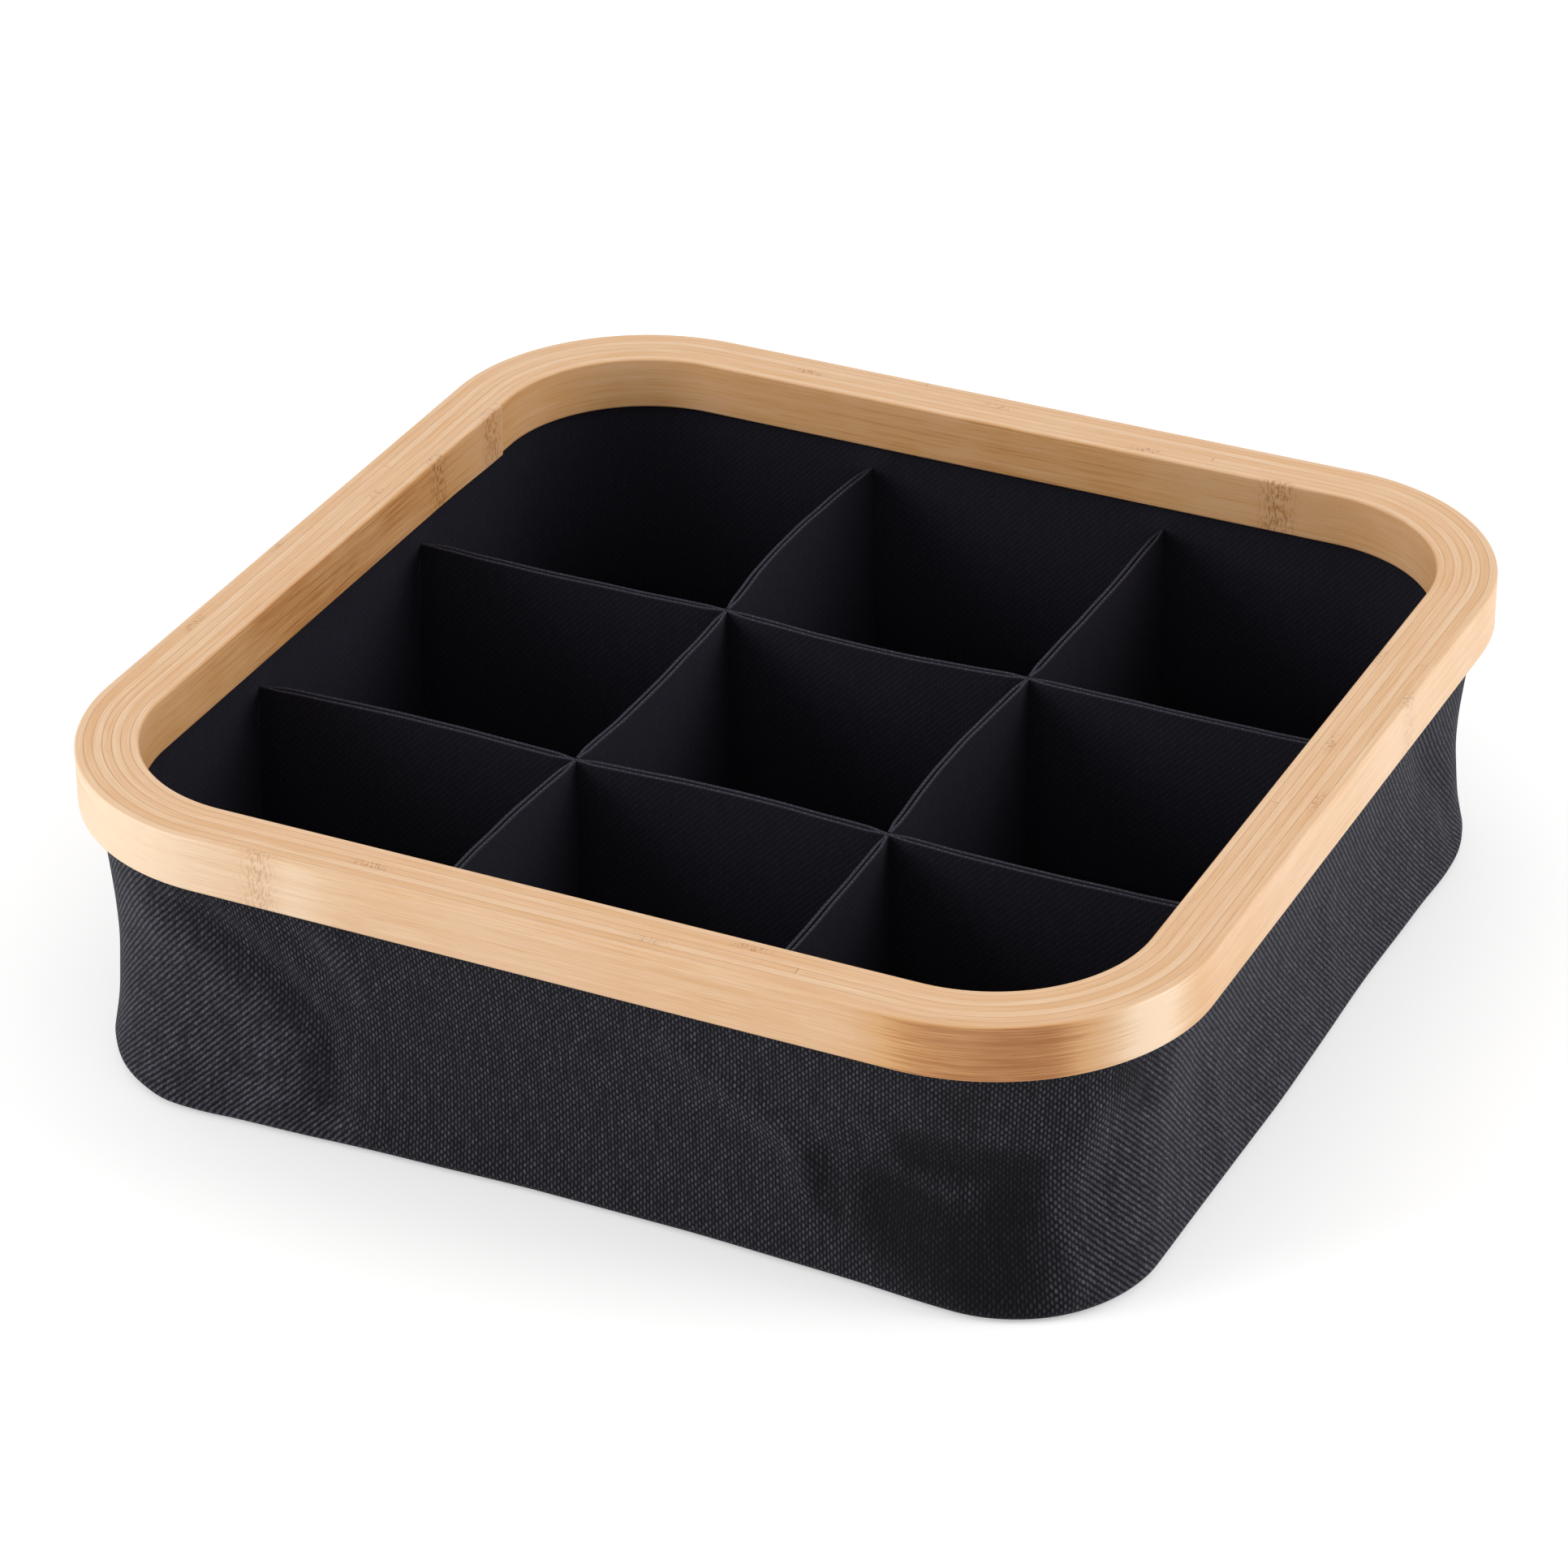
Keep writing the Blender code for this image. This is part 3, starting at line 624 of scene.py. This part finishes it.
front, back = SEAT + WALL_FELT, SEAT
section = filleted([(front, FELT_LOW, FELT_EDGE), (front, FELT_HIGH, FELT_EDGE),
                    (back, FELT_HIGH, FELT_EDGE), (back, FELT_LOW, FELT_EDGE)], 4)
section = subdivided(section, FELT_STEP)
run = lengths_along((*section, section[0]))
along = np.linspace(-FELT_REACH, FELT_REACH, 25)
for side, wall in enumerate(("front", "right", "back", "left")):
    x, y = np.meshgrid(along, -(lining_half(section[:, 1]) + section[:, 0]))
    z = np.broadcast_to(section[:, 1, None], x.shape)
    spin = np.array(Matrix.Rotation(math.pi / 2 * side, 3, "Z"))
    points = np.stack((x, y, z), -1) @ spin.T
    # Each panel is cut from another part of the felt, so its lay starts elsewhere
    lay = np.stack(np.meshgrid(along + side * 0.3, run), -1)
    panel = skin(f"felt_in_{wall}_wall", points, lay, grey_felt, around=False)
    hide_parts(f"wall_felt_{wall}")
    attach(panel, "base")
    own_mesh(panel)


# Wall lining. One strip of thin black cloth round the inside, glued behind the innermost ply.
# It stands on the base board, and the dividers are sewn to it, which draws it in a little.

CROSSING = 46.5 * MM
BOARD_TOP = 3.6 * MM
LINING_COLUMNS = 720
LINING_ROWS = 44
LINING_SLACK = 0.25 * MM
# The lining is drawn in where a divider's top is sewn to it: depth, height, and reach each way
PUCKER_DEPTH = 1.2 * MM
PUCKER_HEIGHT = 66 * MM
PUCKER_RISE = 6 * MM
PUCKER_REACH = 6.5 * MM
# It gives way where a hollow of the skirt is deeper than this
LINING_GIVES = 1.6 * MM

# Lining: thin twill of fine black polyester yarn, so it is nearly black, smooth and matt. Its
# yarn is too fine to show, and is drawn as coarse as the skirt's.
black_cloth = plain_weave(
    "black_polyester_lining", SKIRT_THREADS, ("#23222C", "#2A2934"), ("#212029", "#272631"),
    "#1A1920", 0.012, 0.08 * MM, twill=0.5)


def pucker(height):
    """How far the lining is drawn inwards at a height, where a divider is sewn to it."""
    return PUCKER_DEPTH * math.exp(-((height - PUCKER_HEIGHT) / PUCKER_RISE) ** 2)


def lining_push(walks, half, flat, at_bend, height):
    """How far the lining stands out from its even outline at one row."""
    slack = np.clip((RIM_UNDERSIDE - height) / (12 * MM), 0, 1)
    slack *= np.clip((height - FOLD_RADIUS) / (8 * MM), 0, 1)
    push = -LINING_SLACK * (1 + ripple(walks, height, 5, 45 * MM, 60 * MM)) * at_bend * slack
    nearest = np.where(at_bend, 1, abs(flat - CROSSING))
    push = push - pucker(height) * np.exp(-(nearest / PUCKER_REACH) ** 2)
    folds = MM * near_lines(both_ways(walks), height, SKIRT_FOLDS)
    return push + np.minimum(folds + LINING_GIVES, 0) * at_bend * slack


rows = wall_section(BASE_HALF - WALL_STACK + LINING_CLOTH,
                    BASE_CORNER_RADIUS - WALL_STACK + LINING_CLOTH,
                    LINING_HEM_INSET - LINING_CLOTH, LINING_ROWS)
foot = [(*rows[-1, :2], BOARD_TOP + SEAT)]
rows, across = shell_rows(np.concatenate((rows, foot)), LINING_CLOTH)
lining = wall_cloth("lining_cloth", black_cloth, rows, across, LINING_COLUMNS, lining_push)
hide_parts("wall_lining")
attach(lining, "base")
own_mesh(lining)


# Floor lining. One square of the same black cloth with round corners, glued over the base board
# inside the walls. The dividers are sewn down on it.

FLOOR_INSET = WALL_STACK + SEAT
FLOOR_BOTTOM = BOARD_TOP + SEAT
floor_cloth = flat_cloth("floor_cloth", black_cloth, BASE_HALF - FLOOR_INSET,
                         BASE_CORNER_RADIUS - FLOOR_INSET, FLOOR_BOTTOM, LINING_CLOTH,
                         wave=0.05 * MM)
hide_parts("floor_lining")
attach(floor_cloth, "base")


# Dividers. Each is a strip of lining cloth folded double at the floor, with felt between its two
# plies and its edges hemmed and left open on top. Its ends are pinched, at wall or crossing.

DIVIDER_BOTTOM = FLOOR_BOTTOM + LINING_CLOTH + SEAT
DIVIDER_TOP = 67 * MM
DIVIDER_HALF = 1.1 * MM
DIVIDER_OPENING = 0.3 * MM
# A column's slot stands open by this share of a row's
COLUMN_OPENING = 0.45
DIVIDER_HEM = 0.95 * MM
HEM_SLOPE = 1.2 * MM
DIVIDER_KINKS = (0.14 * MM, 0.08 * MM, 0.04 * MM)
# Shares of the length over which the top drops towards the wall, and the ends are pinched
END_DROP = 0.5 * MM
DROP_SHARE = 0.14
PINCH_HALF = 0.6 * MM
PINCH_SHARE = 0.07
LEAST_HALF = 0.05 * MM
DIVIDER_BOW = 3 * MM
PITCH = 2 * CROSSING
DIVIDER_FELT_HALF = 0.4 * MM
FELT_RECESS = 3 * MM
FILLING_REACH = 0.42
# At this height the wall's waist comes nearest
WAIST_HEIGHT = 23 * MM
ROW_START = 0.05 * MM
COLUMN_START = PINCH_HALF + 0.2 * MM
# Each divider's first crossing, heading in quarter turns, and bow as a share of the largest
DIVIDERS = (
    ("row_back_left", (-1, 1), 2, 0.5), ("row_back_middle", (-1, 1), 0, -1.0),
    ("row_back_right", (1, 1), 0, -0.2), ("row_front_left", (-1, -1), 2, -0.5),
    ("row_front_middle", (-1, -1), 0, 0.7), ("row_front_right", (1, -1), 0, -0.5),
    ("column_left_back", (-1, 1), 1, 1.0), ("column_left_middle", (-1, -1), 1, -0.5),
    ("column_left_front", (-1, -1), 3, -0.8), ("column_right_back", (1, 1), 1, -0.2),
    ("column_right_middle", (1, -1), 1, 0.7), ("column_right_front", (1, -1), 3, 0.4))

# Fold edge: a paler copy of the lining for where the cloth turns over at the top, a painted
# highlight of the light that falls on it from above.
painted_highlight_edge_cloth = plain_weave(
    "black_lining_painted_highlight", SKIRT_THREADS, ("#42414A", "#504F59"), ("#3E3D46", "#4B4A54"),
    "#2C2B33", 0.08, 0.05 * MM)
# The dividers' felt is drawn much darker than the walls' felt: painted shade of the narrow slot it
# lies in
felt_with_painted_slot_shade = needled_felt("needled_felt_painted_slot_shade", "#141416", "#26262A")


def divider_end(to_wall, start, height):
    """How far one divider's far end lies from its crossing at a height."""
    if to_wall:
        wall = min(lining_half(height)[0], lining_half(WAIST_HEIGHT)[0])
        return wall - LINING_CLOTH - SEAT - CROSSING - pucker(height)
    return PITCH - start


def both_sides(half):
    """A section's half (sense, depth, height), and its mirror image the other way round."""
    return half + [(-sense, depth, height) for sense, depth, height in half[::-1]]


def add_divider(name, signs, heading, bow, seed):
    """One divider with its felt, from a crossing towards a heading in quarter turns."""
    crossing = np.array((*signs, 0)) * CROSSING
    to_wall = not name.endswith("middle")
    start = COLUMN_START if heading % 2 else ROW_START
    draws = np.random.default_rng(seed)
    opening = DIVIDER_OPENING * draws.uniform(0.8, 1.1) * (COLUMN_OPENING if heading % 2 else 1)
    shares = np.concatenate((np.linspace(0, 0.1, 7), np.linspace(0.1, 0.9, 40)[1:],
                             np.linspace(0.9, 1, 7)[1:]))
    top = DIVIDER_TOP - DIVIDER_HEM / 2
    low = DIVIDER_BOTTOM
    felt_top = DIVIDER_TOP - FELT_RECESS
    turn = np.array(Matrix.Rotation(math.pi / 2 * heading, 3, "Z"))
    kinks = [(size * draws.uniform(0.5, 1), draws.uniform(0, 6.3)) for size in DIVIDER_KINKS]

    def side_line(sense, depth, rise, shares):
        """Sideways place of a point of one ply, a depth inside its outer face."""
        ends = np.clip(np.minimum(shares, 1 - shares) / PINCH_SHARE, 0, 1)
        ends = ends * ends * (3 - 2 * ends)
        width = PINCH_HALF + (DIVIDER_HALF - PINCH_HALF + opening * rise * rise) * ends
        sway = DIVIDER_BOW * bow * rise * np.sin(math.pi * shares)
        wave = sum(size * np.sin(2 * math.pi * shares * (1.5 + 2 * i) + phase + sense * 0.3)
                   for i, (size, phase) in enumerate(kinks))
        inside = np.maximum(abs(sense) * width - depth, LEAST_HALF)
        return np.sign(sense) * inside + sway + wave * rise * ends

    def grid(section, shares):
        """Points and lay of a section (sense, depth, height) run along the divider."""
        points = []
        for sense, depth, height in section:
            x = start + (divider_end(to_wall, start, height) - start) * shares
            rise = (height - DIVIDER_BOTTOM) / (DIVIDER_TOP - DIVIDER_BOTTOM)
            drop = np.clip(shares - (1 - DROP_SHARE), 0, 1) / DROP_SHARE * to_wall
            z = height - END_DROP * rise * rise * drop * drop
            points.append(np.column_stack((x, side_line(sense, depth, rise, shares), z)))
        points = np.array(points)
        middle = points[:, points.shape[1] // 2]
        lengths = lengths_along((*middle, middle[0]))
        # Each strip is cut some threads further along the cloth
        x = points[0, :, 0] + seed * 11 * SKIRT_THREADS[0]
        return points @ turn.T + crossing, np.stack(np.meshgrid(x, lengths), -1)

    def ply(height):
        """Thickness of one ply at a height: double where its edge is turned in."""
        share = min(max((height - felt_top) / HEM_SLOPE, 0), 1)
        return LINING_CLOTH + (DIVIDER_HEM - LINING_CLOTH) * share

    heights = np.append(np.linspace(top, felt_top, 6)[:-1],
                        np.linspace(felt_top, low + 0.6 * MM, 17))
    outer = [(1, 0, height) for height in heights] + [(0.6, 0, low)]
    # The hem's rounded top, then the inner face
    inner = [(-1, DIVIDER_HEM / 2 * (1 - math.cos(a)), top + DIVIDER_HEM / 2 * math.sin(a))
             for a in np.linspace(0, math.pi, 9)[1:-1]]
    inner += [(-1, ply(height), height) for height in heights]
    inner += [(-0.5, LINING_CLOTH * 0.4, low + LINING_CLOTH)]
    points, lay = grid(both_sides(outer) + both_sides(inner), shares)
    sleeve = skin(f"{name}_cloth", points, lay, black_cloth, around=False, crease=60)
    sleeve.data.materials.append(painted_highlight_edge_cloth)
    # Faces of the top that point upwards take the paler copy: painted highlight
    for face in sleeve.data.polygons:
        if face.center.z > top - END_DROP and face.normal.z > 0.3:
            face.material_index = 1
    heights = np.linspace(felt_top, low + LINING_CLOTH + SEAT, 12)
    face = [(1, DIVIDER_HALF - DIVIDER_FELT_HALF, height) for height in heights]
    points, lay = grid(both_sides(face), shares[abs(shares - 0.5) < FILLING_REACH])
    filling = skin(f"{name}_filling", points, lay, felt_with_painted_slot_shade, around=False)
    for piece, node, slot in ((sleeve, "sleeve", "black_cloth"), (filling, "felt", "felt")):
        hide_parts(f"{name}_{node}")
        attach(piece, "base")
        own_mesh(piece)


for seed, (name, signs, heading, bow) in enumerate(DIVIDERS, 1):
    add_divider(name, signs, heading, bow, seed)


# Rim. Seven strips of bamboo, steamed, bent round one former and glued one inside the other.
# Each strip closes on a butt joint, and the outer and inner edges are rounded with sandpaper.

PLY_THICKNESS = 2.26 * MM
PLY_PITCH = 2.46 * MM
GLUE = 0.04 * MM
GLUE_BAND = 0.22 * MM
PLY_END_GAP = 0.16 * MM
EDGE_RADIUS = 0.7 * MM
FINE_EDGE = 0.03 * MM
REBATE_EDGE = 0.05 * MM
REBATE_DEPTH = 9 * MM
REBATE_ROOM = 0.3 * MM
PLY_STATIONS = 440
# The innermost ply's first end shows pale, and stands proud of its last end and hangs lower
END_LIGHT = 0.3 * MM
END_TONE = 0.5
END_PROUD = 0.3 * MM
END_HANG = 0.7 * MM
END_HANG_HEIGHT = 3 * MM
END_REACH = 22 * MM
# Where each ply's butt joint lies, counted from the outermost: side, and place along that side
PLY_JOINTS = ((2, 34.8), (1, 59.7), (3, -44.8), (0, 69.7), (2, -59.7), (1, -24.9), (3, -93.5))
# Shade of each ply against the others, and nodes of the cane: (side, place along it in mm)
CANE_TONE = -0.22
PLY_TONES = (0.02, -0.05, 0.06, -0.04, 0.03, -0.03, 0.05)
PLY_NODES = (((0, -79), (1, 40), (3, 10)), ((1, -20), (3, 60)), ((0, 30), (2, 10)),
             ((0, -50), (2, 70)), ((1, 10), (3, -30)), ((0, 55), (2, -40)),
             ((2, -82), (3, -87), (3, -55), (1, 60)))
# Darker and paler stretches of the outer and inner strips: walk, half length, shade. Those on the
# outer strip's front are partly the cane's own tone and partly painted light and shade: paler at
# the front left and part way round the front right bend, darker where that bend begins.
OUTER_TONE_AND_PAINTED_LIGHT = ((-68, 10, 0.22), (-118, 28, 0.40), (110, 18, -0.38), (136, 16, -0.44),
                   (167, 11, 0.46), (184, 9, -0.08), (330, 60, 0.12), (-180, 40, 0.16))
INNER_STRETCHES = ((-269, 90, -0.20), (560, 70, -0.08), (0, 60, 0.05))
INNER_FACE_TONE = -0.20


def bent_bamboo():
    """Bamboo: split cane, so long straight fibres, with flecks and a speckled band at each node.

    It is sanded and sealed with a satin lacquer, which leaves it pale, warm and softly glossy.
    """
    surface = bpy.data.materials.new("sealed_bamboo")
    add = nodes_for(surface)
    lay = add("Attribute", {}, out="Vector", attribute_name="lay")
    tone = add("Attribute", {}, out="Fac", attribute_name="tone")
    stain = add("Attribute", {}, out="Fac", attribute_name="glue")
    node_gap = add("SeparateXYZ", {"Vector": lay}).node.outputs["Z"]
    # Fibres 0.2 mm wide and 15 mm long, streaks of 0.7 mm by 40 mm, bands 2 mm wide, clouds of
    # some 60 mm, and flecks
    sizes = ((65, 4600, 0), (25, 1400, 0), (9, 480, 0), (16, 16, 0), (140, 2600, 0))
    fibre, streak, band, cloud, fleck = [add("TexNoise", {"Vector": add(
        "VectorMath", {0: lay, 1: size}, operation="MULTIPLY"), "Scale": 1.0,
        "Detail": 3.0, "Roughness": 0.6}) for size in sizes]
    shade = tone
    for part, share in ((fibre, 0.62), (streak, 0.42), (band, 0.30), (cloud, 0.30)):
        shade = add("Math", {0: part, 1: share, 2: shade}, operation="MULTIPLY_ADD")
    colour = add("ValToRGB", {"Fac": shade}, stops=(
        (0.06, "#A6662C"), (0.94, "#F7DAB9"), (0.20, "#BE824B"), (0.34, "#D8A267"),
        (0.56, "#E1B487")))
    # A node of the cane: fine dark speckles, which fade out over 8 mm each way
    near = add("MapRange", {"Value": node_gap, "From Min": 0.0, "From Max": 8 * MM,
                            "To Min": 1.0, "To Max": 0.0}, interpolation_type="SMOOTHSTEP")
    dots = add("VectorMath", {0: lay, 1: (1500, 480, 0)}, operation="MULTIPLY")
    dots = add("TexNoise", {"Vector": dots, "Scale": 1.0, "Detail": 2.0, "Distortion": 0.6})
    blush, flecks, dots, broken = [
        add("MapRange", {"Value": part, "From Min": low, "From Max": high, "To Max": most})
        for part, low, high, most in ((cloud, 0.45, 0.7, 0.3), (fleck, 0.60, 0.72, 0.25),
                                      (dots, 0.46, 0.62, 0.6), (band, 0.40, 0.62, 0.5))]
    speckle = add("Math", {0: near, 1: dots}, operation="MULTIPLY")
    # The speckles are browner on the cane's darker inner side
    darker = add("MapRange", {"Value": tone, "From Min": -0.4, "From Max": -0.1,
                              "To Min": 1.2, "To Max": 0.6})
    speckle = add("Math", {0: speckle, 1: darker}, operation="MULTIPLY")
    # Glue darkens the edges of each ply, more in some places than others
    stained = add("Math", {0: stain, 1: broken}, operation="MULTIPLY")
    for part, hue in ((blush, "#E6BB98"), (flecks, "#A8744A"), (speckle, "#8F531F"),
                      (stained, "#A9734B")):
        colour = add("Mix", {0: part, 6: colour, 7: linear(hue)}, out=2, data_type="RGBA")
    rough = add("MapRange", {"Value": fibre, "To Min": 0.36, "To Max": 0.54})
    bump = add("Bump", {"Height": fibre, "Distance": 0.03 * MM, "Strength": 0.8})
    shader = add("BsdfPrincipled", {"Base Color": colour, "Roughness": rough,
                                    "Normal": bump, "IOR": 1.5})
    add("OutputMaterial", {"Surface": shader})
    return surface


def with_glue_rows(outline, outer, inner):
    """The outline with points added along the top and bottom where the glue's stain ends."""
    made = []
    for start, end in zip(outline, np.roll(outline, -1, axis=0)):
        made.append(start)
        if abs(start[1] - end[1]) < 0.01 * MM and abs(start[0] - end[0]) > 0.9 * MM:
            marks = [outer + GLUE_BAND, (outer + inner) / 2, inner - GLUE_BAND]
            marks = [x for x in marks if min(start[0], end[0]) < x < max(start[0], end[0])]
            if end[0] < start[0]:
                marks.reverse()
            made += [np.array((x, start[1])) for x in marks]
        elif np.linalg.norm(end - start) > 3 * MM:
            made += [start + (end - start) * share for share in (0.25, 0.5, 0.75)]
    return np.array(made)


bamboo = bent_bamboo()
straight = RIM_HALF - RIM_CORNER_RADIUS
top, low, roof = TOTAL_HEIGHT, RIM_UNDERSIDE, RIM_UNDERSIDE + REBATE_DEPTH
for index in range(7):
    first, last = index == 0, index == 6
    outer = index * PLY_PITCH - (0 if first else GLUE)
    inner = index * PLY_PITCH + PLY_THICKNESS if last else (index + 1) * PLY_PITCH - 2 * GLUE
    at_outer = EDGE_RADIUS if first else FINE_EDGE
    at_inner = EDGE_RADIUS if last else FINE_EDGE
    corners = [(outer, top, at_outer), (outer, low, at_outer), (inner, low, at_inner),
               (inner, top, at_inner)]
    # The third ply is rebated for the skirt's hem, and the sixth for the lining's
    if index == 2:
        cut = SKIRT_HEM_INSET + SKIRT_CLOTH + REBATE_ROOM
        corners[1:2] = [(outer, roof, REBATE_EDGE), (cut, roof, REBATE_EDGE), (cut, low, FINE_EDGE)]
    if index == 5:
        cut = LINING_HEM_INSET - LINING_CLOTH - REBATE_ROOM
        corners[2:3] = [(cut, low, FINE_EDGE), (cut, roof, REBATE_EDGE), (inner, roof, REBATE_EDGE)]
    outline = with_glue_rows(filleted(corners, 5), outer, inner)
    side, place = PLY_JOINTS[index]
    radius = RIM_CORNER_RADIUS - (outer + inner) / 2
    quarter = 2 * straight + math.pi / 2 * radius
    origin = side * quarter + place * MM
    lap = 4 * quarter
    nodes = np.array([turn * quarter + spot * MM for turn, spot in PLY_NODES[index]])
    nodes = (nodes - origin) % lap + origin
    walks = np.linspace(origin + PLY_END_GAP / 2, origin + lap - PLY_END_GAP / 2, PLY_STATIONS)
    extra = [spot + step * 2 * MM for spot in nodes for step in range(-4, 5)]
    extra += [walks[0] + step * END_LIGHT for step in (1, 2)]
    walks = np.unique(np.concatenate((walks, np.clip(extra, walks[0], walks[-1]))))
    places = stations(walks, straight + radius, radius)
    points = []
    for inset, height in outline:
        line, out = ring(places, RIM_HALF - inset, RIM_CORNER_RADIUS - inset)
        z = np.full_like(walks, height)
        if last and inset > inner - EDGE_RADIUS:
            lifted = np.exp(-((walks - walks[0]) / END_REACH) ** 2)
            line = line - out * (END_PROUD * lifted)[:, None]
            if height < low + END_HANG_HEIGHT:
                z = z - END_HANG * lifted
        points.append(np.column_stack((line, z)))
    # Each strip is another piece of cane, so its lay starts metres away from its neighbour's
    run = lengths_along((*outline, outline[0])) + index * 0.1
    lay = np.stack(np.meshgrid(walks + index * 3, run), -1)
    gaps = np.min(abs(walks[:, None] - nodes), axis=1)
    lay = np.concatenate((lay, np.broadcast_to(gaps, lay.shape[:2])[..., None]), -1)
    ply = skin(f"bamboo_ply_{index + 1}", np.array(points), lay, bamboo, around=False, crease=50)
    from_glue = np.minimum(abs(outline[:, 0] - (-np.inf if first else outer)),
                           abs(outline[:, 0] - (np.inf if last else inner)))
    stain = np.clip(1 - from_glue / GLUE_BAND, 0, 1)
    tone = np.full((len(outline), len(walks)), PLY_TONES[index] + CANE_TONE)
    stretches = ()
    if first:
        face = np.clip(1 - (outline[:, 0] - outer) / EDGE_RADIUS, 0.2, 1)[:, None]
        # Partly the cane's own tone, partly painted light and shade
        stretches = OUTER_TONE_AND_PAINTED_LIGHT
    if last:
        face = np.clip(1 - (inner - outline[:, 0]) / EDGE_RADIUS, 0, 1)[:, None]
        tone += INNER_FACE_TONE * face
        tone += END_TONE * face * (walks < walks[0] + END_LIGHT / 2)
        stretches = INNER_STRETCHES
    for centre, reach, shade in stretches:
        away = abs((walks - centre * MM + lap / 2) % lap - lap / 2)
        tone += shade * face * np.exp(-(away / (reach * MM)) ** 2)
    keep_values(ply, "tone", tone)
    keep_values(ply, "glue", np.broadcast_to(stain[:, None], tone.shape))
    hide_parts(f"rim_ply_{index + 1}")
    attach(ply, "rim")


# Studio. A white table that runs on into a white background, lit softly from all round. A large
# lamp at the left front and another at the right brighten the upright faces.

TABLE_HALF = 8
TABLE_DROP = 0.2 * MM


def seen_by_lens():
    """One for the rays that the camera sees, straight or reflected, and zero for the others."""
    ray = add("LightPath", {}).node.outputs
    seen = add("Math", {0: ray["Is Camera Ray"], 1: ray["Is Glossy Ray"]}, operation="MAXIMUM")
    return add("Math", {0: seen, 1: ray["Is Transmission Ray"]}, operation="MAXIMUM")


table = bpy.data.meshes.new("white_table")
table.from_pydata([(x * TABLE_HALF, y * TABLE_HALF, -TABLE_DROP)
                   for x, y in ((-1, -1), (1, -1), (1, 1), (-1, 1))], [], [(0, 1, 2, 3)])
table_top = placed("white_table", table)
# White laminate: evenly matt. A faint glow of its own runs it into the white background.
white = bpy.data.materials.new("matt_white_laminate")
add = nodes_for(white)
matt = add("BsdfDiffuse", {"Color": (0.85, 0.85, 0.85, 1)})
lift = add("Math", {0: seen_by_lens(), 1: 0.36}, operation="MULTIPLY")
glow = add("Emission", {"Color": (1, 1, 1, 1), "Strength": lift})
both = add("AddShader", {0: matt, 1: glow})
add("OutputMaterial", {"Surface": both})
table.materials.append(white)

world = bpy.data.worlds.new("studio")
bpy.context.scene.world = world
add = nodes_for(world)
level = add("MapRange", {"Value": seen_by_lens(), "To Min": 0.65, "To Max": 1.0})
sky = add("Background", {"Color": (1, 1, 1, 1), "Strength": level})
add("OutputWorld", {"Surface": sky})

# Each lamp's direction in degrees from the front towards the right, and its power in watts
LAMP_RANGE = 2.4
LAMP_SIDE = 1.4
LAMP_RISE = math.radians(25)
for name, azimuth, power in (("left_lamp", -50, 25), ("right_lamp", 110, 27)):
    lamp = bpy.data.lights.new(name, "AREA")
    lamp.shape = "SQUARE"
    lamp.size = LAMP_SIDE
    lamp.energy = power
    holder = placed(name, lamp)
    away = math.radians(azimuth)
    holder.location = (LAMP_RANGE * math.cos(LAMP_RISE) * math.sin(away),
                       -LAMP_RANGE * math.cos(LAMP_RISE) * math.cos(away),
                       LAMP_RANGE * math.sin(LAMP_RISE))
    holder.rotation_euler = (-holder.location).to_track_quat("-Z", "Y").to_euler()

# Camera, set by the outlines of the rim and the base in the photograph
CAMERA_PLACE = (0.5911, -1.2409, 0.8498)
CAMERA_RIGHT = (0.9024, 0.4309, -0.0055)
CAMERA_UP = (-0.2132, 0.4576, 0.8632)
CAMERA_BACK = (0.3745, -0.7778, 0.5048)
lens = bpy.data.cameras.new("camera")
lens.sensor_width = 36
lens.lens = 132.67
camera = placed("camera", lens)
turn = Matrix((CAMERA_RIGHT, CAMERA_UP, CAMERA_BACK)).transposed()
camera.matrix_world = Matrix.Translation(CAMERA_PLACE) @ turn.to_quaternion().to_matrix().to_4x4()
bpy.context.scene.camera = camera
bpy.context.scene.view_settings.view_transform = "Standard"
